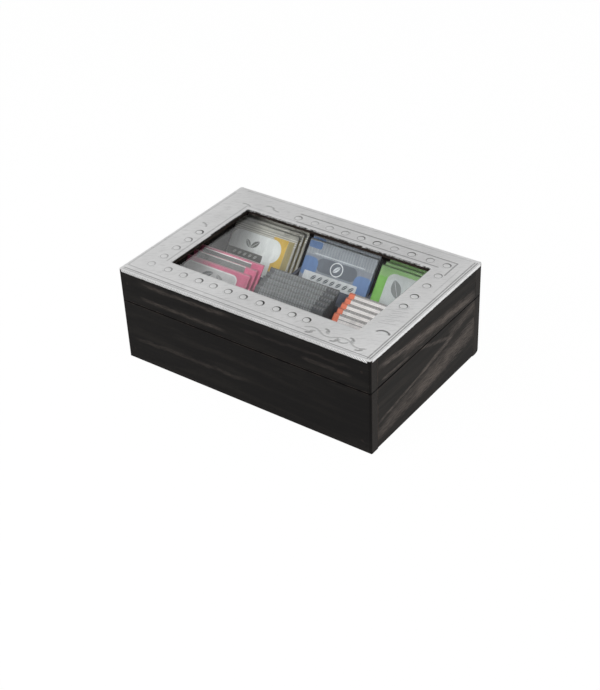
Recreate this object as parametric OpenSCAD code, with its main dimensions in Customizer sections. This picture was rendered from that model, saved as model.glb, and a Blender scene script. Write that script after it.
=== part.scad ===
// Tea bag organizer box: an ebonised wood box with six compartments and a hinged lid,
// whose top is an embossed metal sheet round a glass window.
// Frame: +X along the long side, -Y the front, +Z up, origin under the middle of the box.

/* [Case] */
// Length over the metal sheet, left to right
box_len = 240; // [200:1:300]
// Depth over the metal sheet, front to back
box_dep = 161; // [140:1:200]
// Height of the closed box
box_h = 85; // [76:0.5:110]
// Height of the seam between the base and the lid
seam_z = 56; // [48:0.5:66]
// Thickness of the case boards
wood_t = 9.5; // [7:0.5:14]
// Radius of the case's upright corners
corner_r = 2; // [0.5:0.5:4]
// Bevel along the seam
seam_bevel = 0.6; // [0.2:0.1:1.5]
// Bevel along the bottom edge
foot_bevel = 1; // [0.3:0.1:2]
// Rounding of the lower back edge
heel_r = 5.5; // [1:0.5:8]

/* [Bottom and dividers] */
// Thickness of the bottom panel
panel_t = 6; // [4:0.5:8]
// How far the bottom panel is let into the boards
panel_lap = 3.5; // [3:0.5:6]
// Thickness of the dividers
div_t = 3; // [2:0.5:5]
// Height of the long divider's top edge
div_top = 59; // [50:0.5:62]
// Height of the cross dividers' top edge
cross_top = 43; // [36:0.5:60]
// Middle of the side dividers, left and right of the centre
div_x = 37; // [30:0.5:45]
// How far the dividers' ends stand in from the lid
div_relief = 1.5; // [1:0.5:3]

/* [Lid top] */
// Thickness of the wooden frame under the metal
frame_t = 3.7; // [3:0.1:6]
// How far that frame is let into the lid boards
frame_lap = 4.7; // [3:0.1:6]
// Width of the metal border at the left and right
border_side = 30; // [26:0.5:40]
// Width of the metal border at the front
border_front = 30.7; // [26:0.1:40]
// Width of the metal border at the back
border_back = 29.1; // [26:0.1:40]
// Thickness of the metal sheet
sheet_t = 0.3; // [0.3:0.1:0.8]
// How far the sheet is folded down outside
flap_h = 2.1; // [1.5:0.1:3]
// How far the sheet is turned down in the window
lip_h = 1.2; // [0.6:0.1:2]
// How far the flaps stop short of each corner
flap_gap = 3; // [2.5:0.5:6]

/* [Embossing] */
// Radius of an embossed dot
dot_r = 3.6; // [2:0.1:5]
// Height of an embossed dot
dot_h = 0.5; // [0.3:0.1:1]
// Distance of the dot rows from the outer edge
dot_inset = 19.8; // [16:0.1:22]
// Spacing of the dots along the front and the left
dot_pitch_front = 15.2; // [12:0.1:20]
// Spacing of the dots along the back and the right
dot_pitch_back = 16.1; // [12:0.1:20]
// Dots along the front
dots_front = 11; // [4:1:13]
// Further dots up the left side
dots_left = 4; // [2:1:6]
// Dots along the back
dots_back = 10; // [4:1:12]
// Further dots down the right side
dots_right = 4; // [2:1:6]

/* [Window glass] */
// Thickness of the glass
glass_t = 2; // [1.5:0.5:3]
// How far the glass reaches under the border
glass_lap = 10; // [6:0.5:12]
// How far a bead reaches under the glass
bead_lap = 4; // [2:0.5:6]
// Width of a bead beside the glass
bead_wall = 4; // [2:0.5:5]
// Thickness of a bead under the glass
bead_lip = 2; // [1:0.5:3]

/* [Hinges] */
// Middle of each hinge, left and right of the centre
hinge_x = 62; // [40:1:85]
// Width of a hinge
hinge_w = 25; // [18:1:36]
// How far a leaf reaches into the wood
leaf_in = 7.5; // [6.5:0.5:8.5]
// Thickness of a leaf
leaf_t = 0.9; // [0.7:0.1:1.2]
// Radius of the hinge barrel
barrel_r = 1.8; // [1.6:0.1:2.5]
// Radius of the hinge pin
pin_r = 0.8; // [0.6:0.05:1]
// How far a stop tail reaches from the pin's axis
tail_reach = 4.2; // [3.4:0.1:6]
// Opening at which the stop tails meet, in degrees
stop_deg = 101; // [95:1:110]
// Length of a hinge screw
screw_len = 10; // [6:0.5:14]
// Radius of a hinge screw's shank
screw_r = 0.8; // [0.6:0.05:1]
// Radius of a hinge screw's head
screw_head_r = 1.6; // [1.3:0.1:2]

/* [Brads] */
// Length of a brad
brad_len = 24; // [16:1:32]
// Radius of a brad
brad_r = 0.7; // [0.5:0.05:1]
// Radius of a brad's head
brad_head_r = 1.1; // [0.9:0.1:1.5]
// Thickness of a brad's head
brad_head_t = 0.8; // [0.5:0.1:1.2]
// Distance of the brads from the box's ends
brad_in = 8; // [5:0.5:9]
// Height of the base's brads
brad_low_z = 10.6; // [9:0.1:14]
// Distance of the lid's brads from the top of the box
brad_down = 11.6; // [8:0.1:14]

/* [Tea bags] */
// Thickness of a tea bag in its middle
bag_t = 2.6; // [1.5:0.1:4]
// Length of the flat sealed edges at the top and bottom
bag_seal = 7; // [4:0.5:10]
// Thickness of a sealed edge
bag_edge = 0.4; // [0.3:0.1:0.8]
// Distance between neighbouring bags, face to face
bag_gap = 0.3; // [0.2:0.1:1]
// Room at each side of a bag in its compartment
bag_side = 1.6; // [1.5:0.1:6]
// Extra room beside the bags of the side compartments
bag_spare = 2.4; // [0:0.1:5]
// Depth of a compartment that the leaning bags leave free
bag_free = 17.4; // [15:0.1:30]
// Height left free over the lowest bag of a front compartment
bag_head = 15.5; // [13:0.1:30]
// How much steeper than the front bags the back bags stand, in degrees
bag_steeper = 3.2; // [0:0.1:6]
// Bags in the front left compartment
bags_front_left = 3; // [1:1:4]
// Bags in the front middle compartment
bags_front_middle = 5; // [1:1:5]
// Bags in the front right compartment
bags_front_right = 5; // [1:1:5]
// Bags in the back left compartment
bags_back_left = 3; // [1:1:3]
// Bags in the back middle compartment
bags_back_middle = 2; // [1:1:3]
// Bags in the back right compartment
bags_back_right = 3; // [1:1:3]
// How far a front left bag has slid past the one behind it
slip_front_left = 6; // [1:0.1:7.5]
// How far a front middle bag has slid past the one behind it
slip_front_middle = 4.5; // [1:0.1:5]
// How far a front right bag has slid past the one behind it
slip_front_right = 4.8; // [1:0.1:6]
// How far a back bag has slid past the one behind it
slip_back = 3.5; // [1:0.1:4]

/* [Tea bag places] */
// Rearmost bag of the front left pile: from -1 at its left divider or wall to 1 at its right one
rear_front_left = 1; // [-1:0.05:1]
// Foremost bag of the front left pile, in the same measure
fore_front_left = -1; // [-1:0.05:1]
// Rearmost bag of the front middle pile: from -1 at its left divider or wall to 1 at its right one
rear_front_middle = 0.9; // [-1:0.05:1]
// Foremost bag of the front middle pile, in the same measure
fore_front_middle = 1; // [-1:0.05:1]
// Rearmost bag of the front right pile: from -1 at its left divider or wall to 1 at its right one
rear_front_right = 1; // [-1:0.05:1]
// Foremost bag of the front right pile, in the same measure
fore_front_right = 0.9; // [-1:0.05:1]
// Rearmost bag of the back left pile: from -1 at its left divider or wall to 1 at its right one
rear_back_left = 1; // [-1:0.05:1]
// Foremost bag of the back left pile, in the same measure
fore_back_left = -1; // [-1:0.05:1]
// Rearmost bag of the back middle pile: from -1 at its left divider or wall to 1 at its right one
rear_back_middle = -0.8; // [-1:0.05:1]
// Foremost bag of the back middle pile, in the same measure
fore_back_middle = -0.7; // [-1:0.05:1]
// Rearmost bag of the back right pile: from -1 at its left divider or wall to 1 at its right one
rear_back_right = 0; // [-1:0.05:1]
// Foremost bag of the back right pile, in the same measure
fore_back_right = -1; // [-1:0.05:1]

/* [Hidden] */
$fn = 32;
e = 0.02;
// Clearances: a glued joint, a piece laid in place, a running pin, a screw or brad in its hole
fit_gap = 0.1;
lay_gap = 0.3;
run_gap = 0.05;
hole_gap = 0.05;
// Outer faces of the wood, and inner faces of the boards
ox = box_len / 2 - sheet_t;
oy = box_dep / 2 - sheet_t;
ix = ox - wood_t;
iy = oy - wood_t;
// Rounding of the lower back edge, which stays in the wood behind the bottom panel
heel = min(heel_r, wood_t - panel_lap - fit_gap - 0.3);
// Levels of the lid
wood_top = box_h - sheet_t;
glass_top = wood_top - frame_t;
glass_low = glass_top - glass_t;
bead_low = glass_low - bead_lip;
// Edges of the window, at the metal
win_l = -box_len / 2 + border_side;
win_r = box_len / 2 - border_side;
win_f = -box_dep / 2 + border_front;
win_b = box_dep / 2 - border_back;
// Middle of the side compartments, their widths, and the depth of a row
side_w = ix - div_x - div_t / 2;
side_x = div_x + div_t / 2 + side_w / 2;
mid_w = 2 * div_x - div_t;
row_d = iy - div_t / 2;
// Height of the lid's brads
brad_high_z = box_h - brad_down;
// Hinge axis and the height of a leaf's face over the seam
axis_y = oy + barrel_r + 0.2;
axis_z = seam_z;
leaf_lift = 0.15;
knuckle_w = (hinge_w - 0.4) / 3;
screw_x = hinge_w * 0.32;
screw_y = oy - leaf_in / 2;
sink_t = leaf_t * 0.7;
tail_up = stop_deg / 2;
// Tea bags: they lie across the depth and the height that their compartment leaves
bag_reach = row_d - bag_free;
bag_rise = seam_z + (glass_low - seam_z) - panel_t - bag_head;
bag_h = sqrt(bag_reach * bag_reach + bag_rise * bag_rise);
lean_front = atan2(bag_reach, bag_rise);
lean_back = lean_front - bag_steeper;
bag_pitch = bag_t + bag_gap;
bag_w_side = side_w - 2 * bag_side - bag_spare;
bag_w_mid = mid_w - 2 * bag_side;
side_play = (side_w - bag_w_side) / 2 - bag_gap;
mid_play = (mid_w - bag_w_mid) / 2 - bag_gap;

// Helpers

// A box between two corners
module block(lo, hi) {
  translate(lo) cube(hi - lo);
}

// An outline in Y and Z, drawn out along X
module along_x(x0, x1) {
  translate([x0, 0, 0])
    rotate([90, 0, 90])
      linear_extrude(x1 - x0) children();
}

// An outline in X and Z, drawn out along Y
module along_y(y0, y1) {
  translate([0, y1, 0])
    rotate([90, 0, 0])
      linear_extrude(y1 - y0) children();
}

// What is cut off an upright corner of the case, at the corner towards +X and +Y
module corner_waste(z0, z1) {
  difference() {
    block([ox - corner_r, oy - corner_r, z0 - 1], [ox + 1, oy + 1, z1 + 1]);
    translate([ox - corner_r, oy - corner_r, z0 - 2]) cylinder(r = corner_r, h = z1 - z0 + 4);
  }
}

// What is rounded off the lower back edge of the base
module heel_waste() {
  difference() {
    block([-ox - 1, oy - heel, -1], [ox + 1, oy + 1, heel]);
    translate([-ox - 2, oy - heel, heel]) rotate([0, 90, 0]) cylinder(r = heel, h = 2 * ox + 4);
  }
}

// Section of a case board of thickness wood_t, with its outer face at 'out' on the plus side
module board_section(out, z0, z1, low_bevel, high_bevel) {
  polygon([
    [out - wood_t, z0],
    [out - low_bevel, z0],
    [out, z0 + low_bevel],
    [out, z1 - high_bevel],
    [out - high_bevel, z1],
    [out - wood_t, z1]
  ]);
}

// The back board of the base or the lid; the front one is its mirror image
module long_board(z0, z1, low_bevel, high_bevel) {
  difference() {
    along_x(-ox, ox) board_section(oy, z0, z1, low_bevel, high_bevel);
    corner_waste(z0, z1);
    mirror([1, 0, 0]) corner_waste(z0, z1);
  }
}

// The right board, which stands between the front and the back one
module short_board(z0, z1, low_bevel, high_bevel) {
  along_y(-iy, iy) board_section(ox, z0, z1, low_bevel, high_bevel);
}

// Room for the bottom panel
module panel_room() {
  block([-ix - panel_lap - fit_gap, -iy - panel_lap - fit_gap, -1],
        [ix + panel_lap + fit_gap, iy + panel_lap + fit_gap, panel_t]);
}

// Room for the lid's wooden frame
module frame_room() {
  block([-ix - frame_lap - fit_gap, -iy - frame_lap - fit_gap, glass_top],
        [ix + frame_lap + fit_gap, iy + frame_lap + fit_gap, wood_top + 1]);
}

// The four brads of the base or the lid, larger by 'more' for their holes
module brad_set(z, more) {
  for (sx = [-1, 1], sy = [-1, 1]) {
    translate([sx * (box_len / 2 - brad_in), sy * oy, z])
      rotate([sy * 90, 0, 0]) {
        translate([0, 0, -more]) cylinder(r = brad_r + more, h = brad_len + 2 * more);
        translate([0, 0, -more]) cylinder(r = brad_head_r + more, h = brad_head_t + 2 * more);
      }
  }
}

// Two screws of one hinge leaf, driven down, larger by 'more' for their holes
module leaf_screws(x, more) {
  for (s = [-1, 1]) {
    translate([x + s * screw_x, screw_y, seam_z - leaf_lift]) {
      translate([0, 0, -screw_len - more]) cylinder(r = screw_r + more, h = screw_len);
      translate([0, 0, -sink_t]) cylinder(r1 = screw_r + more, r2 = screw_head_r + more, h = sink_t);
      if (more > 0) translate([0, 0, -e]) cylinder(r = screw_head_r + more, h = leaf_t);
    }
  }
}

// The same at the lid's side of the seam
module over_seam() {
  translate([0, 0, 2 * seam_z]) mirror([0, 0, 1]) children();
}

// The recess of a leaf in the top edge of the base's back board
module leaf_recess(x) {
  block([x - hinge_w / 2 - fit_gap, oy - leaf_in - fit_gap, seam_z - leaf_lift - leaf_t],
        [x + hinge_w / 2 + fit_gap, oy + 1, seam_z + 1]);
}

// A stretch of barrel
module knuckle(x0, x1) {
  translate([x0, axis_y, axis_z])
    rotate([0, 90, 0]) cylinder(r = barrel_r, h = x1 - x0);
}

// A stretch of stop tail, sloping down from the barrel; its upper face meets the other tail
module tail(x0, x1, from) {
  translate([0, axis_y, axis_z])
    rotate([-tail_up, 0, 0])
      block([x0, from, -leaf_t], [x1, tail_reach, 0]);
}

// The bore of the pin
module pin_bore(x) {
  translate([x - hinge_w, axis_y, axis_z])
    rotate([0, 90, 0]) cylinder(r = pin_r + run_gap, h = 2 * hinge_w);
}

// The base's leaf of a hinge, with two outer knuckles
module base_leaf(x) {
  x0 = x - hinge_w / 2;
  x1 = x0 + knuckle_w;
  x3 = x + hinge_w / 2;
  x2 = x3 - knuckle_w;
  difference() {
    union() {
      block([x0, oy - leaf_in, seam_z - leaf_lift - leaf_t], [x3, oy, seam_z - leaf_lift]);
      block([x0, oy - e, seam_z - leaf_lift - leaf_t], [x1, axis_y, seam_z - leaf_lift]);
      block([x2, oy - e, seam_z - leaf_lift - leaf_t], [x3, axis_y, seam_z - leaf_lift]);
      knuckle(x0, x1);
      knuckle(x2, x3);
      tail(x0, x1, barrel_r - 0.4);
      tail(x2, x3, barrel_r - 0.4);
      tail(x0, x3, barrel_r + 0.2);
    }
    pin_bore(x);
    leaf_screws(x, hole_gap);
  }
}

// The lid's leaf of a hinge, with the middle knuckle
module lid_leaf(x) {
  x0 = x - hinge_w / 2;
  x3 = x + hinge_w / 2;
  x1 = x0 + knuckle_w + 0.2;
  x2 = x3 - knuckle_w - 0.2;
  difference() {
    union() {
      over_seam()
        block([x0, oy - leaf_in, seam_z - leaf_lift - leaf_t], [x3, oy, seam_z - leaf_lift]);
      over_seam()
        block([x1, oy - e, seam_z - leaf_lift - leaf_t], [x2, axis_y, seam_z - leaf_lift]);
      knuckle(x1, x2);
      over_seam() tail(x1, x2, barrel_r - 0.4);
      over_seam() tail(x0, x3, barrel_r + 0.2);
    }
    pin_bore(x);
    over_seam() leaf_screws(x, hole_gap);
  }
}

// One tea bag in its envelope, standing up, its lower edge at the origin
module tea_bag(w) {
  along_x(-w / 2, w / 2)
    polygon([
      [-bag_edge / 2, 0],
      [-bag_t / 2, bag_seal],
      [-bag_t / 2, bag_h - bag_seal],
      [-bag_edge / 2, bag_h],
      [bag_edge / 2, bag_h],
      [bag_t / 2, bag_h - bag_seal],
      [bag_t / 2, bag_seal],
      [bag_edge / 2, 0]
    ]);
}

// How far a bag lies in front of and under the one behind it
function step_y(lean, slip) = bag_pitch * cos(lean) + slip * sin(lean);
function step_z(lean, slip) = slip * cos(lean) - bag_pitch * sin(lean);

// Height of the rearmost bag's top, when the foremost bag stands on the bottom panel
function pile_top(count, lean, slip) =
  panel_t + 0.1 + bag_edge / 2 + bag_h * cos(lean) + (count - 1) * max(step_z(lean, slip), 0);

// Front bags lean on the long divider's top edge, back bags on the back board
function front_pile_y(top) =
  -div_t / 2 - (bag_t / 2 + lay_gap) / cos(lean_front) + (top - div_top) * tan(lean_front);
back_pile_y = iy - lay_gap - bag_edge / 2;

// A pile of leaning bags, from the rearmost one forwards; play is the way each bag can move aside
module bag_pile(middle, play, w, count, lean, slip, top_y, top_z, rear, fore) {
  for (i = [0 : count - 1]) {
    share = rear + (fore - rear) * i / max(count - 1, 1);
    translate([
      middle + play * share,
      top_y - bag_h * sin(lean) - i * step_y(lean, slip),
      top_z - bag_h * cos(lean) - i * step_z(lean, slip)
    ])
      rotate([-lean, 0, 0]) tea_bag(w);
  }
}

// Base

module base_front_board() {
  color("#2b2523")
    difference() {
      mirror([0, 1, 0]) long_board(0, seam_z, foot_bevel, seam_bevel);
      panel_room();
      brad_set(brad_low_z, hole_gap);
    }
}

module base_back_board() {
  color("#2b2523")
    difference() {
      long_board(0, seam_z, foot_bevel, seam_bevel);
      heel_waste();
      panel_room();
      brad_set(brad_low_z, hole_gap);
      for (s = [-1, 1]) {
        leaf_recess(s * hinge_x);
        leaf_screws(s * hinge_x, hole_gap);
      }
    }
}

module base_right_board() {
  color("#352e2a")
    difference() {
      short_board(0, seam_z, foot_bevel, seam_bevel);
      panel_room();
      brad_set(brad_low_z, hole_gap);
    }
}

module base_left_board() {
  color("#352e2a")
    difference() {
      mirror([1, 0, 0]) short_board(0, seam_z, foot_bevel, seam_bevel);
      panel_room();
      brad_set(brad_low_z, hole_gap);
    }
}

module base_bottom_panel() {
  color("#403733")
    block([-ix - panel_lap, -iy - panel_lap, 0], [ix + panel_lap, iy + panel_lap, panel_t]);
}

// The long divider is slotted from below, the cross dividers from above
module long_divider() {
  mid = (panel_t + cross_top) / 2;
  color("#3c4048")
    difference() {
      union() {
        block([-ix + fit_gap, -div_t / 2, panel_t],
              [ix - fit_gap, div_t / 2, min(seam_z, div_top)]);
        block([-ix + div_relief, -div_t / 2, panel_t], [ix - div_relief, div_t / 2, div_top]);
      }
      for (s = [-1, 1]) {
        block([s * div_x - div_t / 2 - fit_gap, -div_t, panel_t - 1],
              [s * div_x + div_t / 2 + fit_gap, div_t, mid]);
      }
    }
}

module cross_divider(x) {
  mid = (panel_t + cross_top) / 2;
  difference() {
    union() {
      block([x - div_t / 2, -iy + fit_gap, panel_t],
            [x + div_t / 2, iy - fit_gap, min(seam_z, cross_top)]);
      block([x - div_t / 2, -iy + div_relief, panel_t],
            [x + div_t / 2, iy - div_relief, cross_top]);
    }
    block([x - div_t, -div_t / 2 - fit_gap, mid], [x + div_t, div_t / 2 + fit_gap, cross_top + 1]);
  }
}

module cross_divider_left() {
  color("#3c4048") cross_divider(-div_x);
}

module cross_divider_right() {
  color("#3c4048") cross_divider(div_x);
}

module base_brads() {
  color("#1d1a19") brad_set(brad_low_z, 0);
}

// Hinges

module hinge_base_leaf_left() {
  color("#a58a4a") base_leaf(-hinge_x);
}

module hinge_base_leaf_right() {
  color("#a58a4a") base_leaf(hinge_x);
}

module hinge_lid_leaf_left() {
  color("#a58a4a") lid_leaf(-hinge_x);
}

module hinge_lid_leaf_right() {
  color("#a58a4a") lid_leaf(hinge_x);
}

module hinge_pins() {
  color("#8e7740")
    for (s = [-1, 1]) {
      translate([s * hinge_x - hinge_w / 2 - 0.9, axis_y, axis_z])
        rotate([0, 90, 0]) {
          cylinder(r = pin_r, h = hinge_w + 1.8);
          cylinder(r = pin_r * 1.8, h = 0.8);
          translate([0, 0, hinge_w + 1]) cylinder(r = pin_r * 1.8, h = 0.8);
        }
    }
}

module base_hinge_screws() {
  color("#b79a55")
    for (s = [-1, 1]) leaf_screws(s * hinge_x, 0);
}

module lid_hinge_screws() {
  color("#b79a55")
    for (s = [-1, 1]) over_seam() leaf_screws(s * hinge_x, 0);
}

// Tea bags

module tea_bags_front_left() {
  top = pile_top(bags_front_left, lean_front, slip_front_left);
  color("#be6482")
    bag_pile(-side_x, side_play, bag_w_side, bags_front_left, lean_front, slip_front_left,
             front_pile_y(top), top, rear_front_left, fore_front_left);
}

module tea_bags_front_middle() {
  top = pile_top(bags_front_middle, lean_front, slip_front_middle);
  color("#5a5c60")
    bag_pile(0, mid_play, bag_w_mid, bags_front_middle, lean_front, slip_front_middle,
             front_pile_y(top), top, rear_front_middle, fore_front_middle);
}

module tea_bags_front_right() {
  top = pile_top(bags_front_right, lean_front, slip_front_right);
  color("#d77355")
    bag_pile(side_x, side_play, bag_w_side, bags_front_right, lean_front, slip_front_right,
             front_pile_y(top), top, rear_front_right, fore_front_right);
}

module tea_bags_back_left() {
  top = pile_top(bags_back_left, lean_back, slip_back);
  color("#cdaf50")
    bag_pile(-side_x, side_play, bag_w_side, bags_back_left, lean_back, slip_back,
             back_pile_y, top, rear_back_left, fore_back_left);
}

module tea_bags_back_middle() {
  top = pile_top(bags_back_middle, lean_back, slip_back);
  color("#5a78aa")
    bag_pile(0, mid_play, bag_w_mid, bags_back_middle, lean_back, slip_back,
             back_pile_y, top, rear_back_middle, fore_back_middle);
}

module tea_bags_back_right() {
  top = pile_top(bags_back_right, lean_back, slip_back);
  color("#82aa64")
    bag_pile(side_x, side_play, bag_w_side, bags_back_right, lean_back, slip_back,
             back_pile_y, top, rear_back_right, fore_back_right);
}

// Lid

module lid_front_board() {
  color("#2b2523")
    difference() {
      mirror([0, 1, 0]) long_board(seam_z, wood_top, seam_bevel, 0.1);
      frame_room();
      brad_set(brad_high_z, hole_gap);
    }
}

module lid_back_board() {
  color("#2b2523")
    difference() {
      long_board(seam_z, wood_top, seam_bevel, 0.1);
      frame_room();
      brad_set(brad_high_z, hole_gap);
      for (s = [-1, 1]) {
        over_seam() leaf_recess(s * hinge_x);
        over_seam() leaf_screws(s * hinge_x, hole_gap);
      }
    }
}

module lid_right_board() {
  color("#352e2a")
    difference() {
      short_board(seam_z, wood_top, seam_bevel, 0.1);
      frame_room();
      brad_set(brad_high_z, hole_gap);
    }
}

module lid_left_board() {
  color("#352e2a")
    difference() {
      mirror([1, 0, 0]) short_board(seam_z, wood_top, seam_bevel, 0.1);
      frame_room();
      brad_set(brad_high_z, hole_gap);
    }
}

module lid_frame_front_rail() {
  color("#332c29")
    block([-ix - frame_lap, -iy - frame_lap, glass_top],
          [ix + frame_lap, win_f - sheet_t, wood_top]);
}

module lid_frame_back_rail() {
  color("#332c29")
    block([-ix - frame_lap, win_b + sheet_t, glass_top],
          [ix + frame_lap, iy + frame_lap, wood_top]);
}

module lid_frame_left_stile() {
  color("#332c29")
    block([-ix - frame_lap, win_f - sheet_t, glass_top],
          [win_l - sheet_t, win_b + sheet_t, wood_top]);
}

module lid_frame_right_stile() {
  color("#332c29")
    block([win_r + sheet_t, win_f - sheet_t, glass_top],
          [ix + frame_lap, win_b + sheet_t, wood_top]);
}

// The metal sheet: a border with four flaps folded down outside and a lip round the window
module embossed_metal_sheet() {
  hx = box_len / 2;
  hy = box_dep / 2;
  low = box_h - flap_h;
  fx = hx - flap_gap;
  fy = hy - flap_gap;
  dot_x = hx - dot_inset;
  dot_y = hy - dot_inset;
  color("#c9cbcc")
    difference() {
      union() {
        block([-ox + corner_r, -oy, wood_top], [ox - corner_r, oy, box_h]);
        block([-ox, -oy + corner_r, wood_top], [ox, oy - corner_r, box_h]);
        for (sx = [-1, 1], sy = [-1, 1])
          translate([sx * (ox - corner_r), sy * (oy - corner_r), wood_top])
            cylinder(r = corner_r, h = sheet_t);
        for (s = [-1, 1]) {
          block([-fx, s * (hy - sheet_t / 2) - sheet_t / 2, low],
                [fx, s * (hy - sheet_t / 2) + sheet_t / 2, box_h]);
          block([s * (hx - sheet_t / 2) - sheet_t / 2, -fy, low],
                [s * (hx - sheet_t / 2) + sheet_t / 2, fy, box_h]);
        }
        block([win_l - sheet_t, win_f - sheet_t, wood_top - lip_h],
              [win_r + sheet_t, win_b + sheet_t, box_h]);
        for (i = [0 : dots_front - 1])
          sheet_dot(-dot_x + i * dot_pitch_front, -dot_y);
        for (i = [1 : dots_left])
          sheet_dot(-dot_x, -dot_y + i * dot_pitch_front);
        for (i = [0 : dots_back - 1])
          sheet_dot(dot_x - i * dot_pitch_back, dot_y);
        for (i = [1 : dots_right])
          sheet_dot(dot_x, dot_y - i * dot_pitch_back);
      }
      block([win_l, win_f, wood_top - lip_h - 1], [win_r, win_b, box_h + 1]);
    }
}

// One embossed dot, raised from the sheet
module sheet_dot(x, y) {
  translate([x, y, box_h - sheet_t / 2])
    cylinder(r1 = dot_r, r2 = dot_r * 0.7, h = dot_h + sheet_t / 2, $fn = 24);
}

module window_glass() {
  color("#cfd8dc", 0.35)
    block([win_l - glass_lap, win_f - glass_lap, glass_low],
          [win_r + glass_lap, win_b + glass_lap, glass_top]);
}

// Beads: each has a wall beside the glass and a lip under it
module long_bead(y, s) {
  x0 = win_l - glass_lap - fit_gap - bead_wall;
  x1 = win_r + glass_lap + fit_gap + bead_wall;
  translate([0, y, 0])
    mirror([0, s < 0 ? 1 : 0, 0])
      along_x(x0, x1)
        polygon([
          [-bead_lap, bead_low],
          [fit_gap + bead_wall, bead_low],
          [fit_gap + bead_wall, glass_top],
          [fit_gap, glass_top],
          [fit_gap, glass_low],
          [-bead_lap, glass_low]
        ]);
}

module short_bead(x, s) {
  y0 = win_f - glass_lap + bead_lap + fit_gap;
  y1 = win_b + glass_lap - bead_lap - fit_gap;
  translate([x, 0, 0])
    mirror([s < 0 ? 1 : 0, 0, 0])
      along_y(y0, y1)
        polygon([
          [-bead_lap, bead_low],
          [fit_gap + bead_wall, bead_low],
          [fit_gap + bead_wall, glass_top],
          [fit_gap, glass_top],
          [fit_gap, glass_low],
          [-bead_lap, glass_low]
        ]);
}

module glass_bead_front() {
  color("#2a2422") long_bead(win_f - glass_lap, -1);
}

module glass_bead_back() {
  color("#2a2422") long_bead(win_b + glass_lap, 1);
}

module glass_bead_left() {
  color("#2a2422") short_bead(win_l - glass_lap, -1);
}

module glass_bead_right() {
  color("#2a2422") short_bead(win_r + glass_lap, 1);
}

module lid_brads() {
  color("#1d1a19") brad_set(brad_high_z, 0);
}

base_front_board();
base_back_board();
base_left_board();
base_right_board();
base_bottom_panel();
long_divider();
cross_divider_left();
cross_divider_right();
base_brads();
hinge_base_leaf_left();
hinge_base_leaf_right();
hinge_pins();
base_hinge_screws();
tea_bags_front_left();
tea_bags_front_middle();
tea_bags_front_right();
tea_bags_back_left();
tea_bags_back_middle();
tea_bags_back_right();
lid_front_board();
lid_back_board();
lid_left_board();
lid_right_board();
lid_frame_front_rail();
lid_frame_back_rail();
lid_frame_left_stile();
lid_frame_right_stile();
embossed_metal_sheet();
window_glass();
glass_bead_front();
glass_bead_back();
glass_bead_left();
glass_bead_right();
lid_brads();
hinge_lid_leaf_left();
hinge_lid_leaf_right();
lid_hinge_screws();
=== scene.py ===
import math
import random

import bmesh
import bpy
import numpy as np
from bpy.props import FloatProperty, FloatVectorProperty, PointerProperty
from mathutils import Matrix, Vector, noise


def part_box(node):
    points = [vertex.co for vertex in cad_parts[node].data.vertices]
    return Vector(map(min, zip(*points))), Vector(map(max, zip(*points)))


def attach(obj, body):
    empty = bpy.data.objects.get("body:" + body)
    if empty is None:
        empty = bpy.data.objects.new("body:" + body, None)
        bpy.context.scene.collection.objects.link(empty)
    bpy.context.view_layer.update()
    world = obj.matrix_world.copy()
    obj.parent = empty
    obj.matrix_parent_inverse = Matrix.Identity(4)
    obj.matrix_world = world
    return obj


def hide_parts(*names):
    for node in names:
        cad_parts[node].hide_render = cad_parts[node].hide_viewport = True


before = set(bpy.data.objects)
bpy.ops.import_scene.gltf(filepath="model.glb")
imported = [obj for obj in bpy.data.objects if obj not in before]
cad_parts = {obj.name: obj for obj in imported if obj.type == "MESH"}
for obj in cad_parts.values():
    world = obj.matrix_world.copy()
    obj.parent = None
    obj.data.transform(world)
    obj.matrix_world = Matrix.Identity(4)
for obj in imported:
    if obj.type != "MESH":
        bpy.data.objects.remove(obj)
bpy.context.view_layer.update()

bl_info = {
    "name": "Tea Box Dresser",
    "version": (1, 0, 0),
    "blender": (4, 5, 0),
    "location": "View3D > Sidebar > Tea Box",
    "description": "Dresses the packed tea bag organizer box in wood, metal, glass and paper",
    "category": "Object",
}

MM = 0.001
WHITE = (1, 1, 1, 1)


def rgb(red, green, blue):
    """A display colour, given from 0 to 255, as the linear colour that shaders use."""
    linear = []
    for value in (red, green, blue):
        value /= 255
        linear.append(value / 12.92 if value <= 0.04045 else ((value + 0.055) / 1.055) ** 2.4)
    return (*linear, 1.0)


def toned(colour, factor):
    """A lighter or darker colour of the same hue."""
    return (*(part * factor for part in colour[:3]), 1.0)


# Settings


def length(label, about, default):
    """A length setting in millimetres."""
    return FloatProperty(name=label, description=about, default=default, min=0.0, precision=2)


def tint(label, about, display):
    """A colour setting."""
    return FloatVectorProperty(
        name=label, description=about, subtype="COLOR", size=4, min=0.0, max=1.0,
        default=rgb(*display))


def power(label, about, default):
    """A lamp's power in watts."""
    return FloatProperty(name=label, description=about, default=default, min=0.0, unit="POWER")


class CaseSettings(bpy.types.PropertyGroup):
    """Wood of the base and the lid."""

    edge_round: length("Edge rounding", "Width of the worn rounding on the boards' edges, in mm", 0.35)
    # Painted light: the side boards get a lighter stain than the front and back boards, for the light
    # that falls on the sides.
    stain: tint("Stain", "Ebonised black-brown of the long boards", (16, 15, 15))
    lit_side_stain: tint("Side stain", "Ebonised brown of the side boards", (26, 25, 24))
    streak: tint("Streaks", "Lighter grain that shows through the stain", (112, 103, 97))
    inner: tint("Inner wood", "Stained bottom, beads and frame under the metal", (34, 29, 27))
    divider: tint("Dividers", "Slate paint of the dividers", (88, 91, 102))


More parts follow.
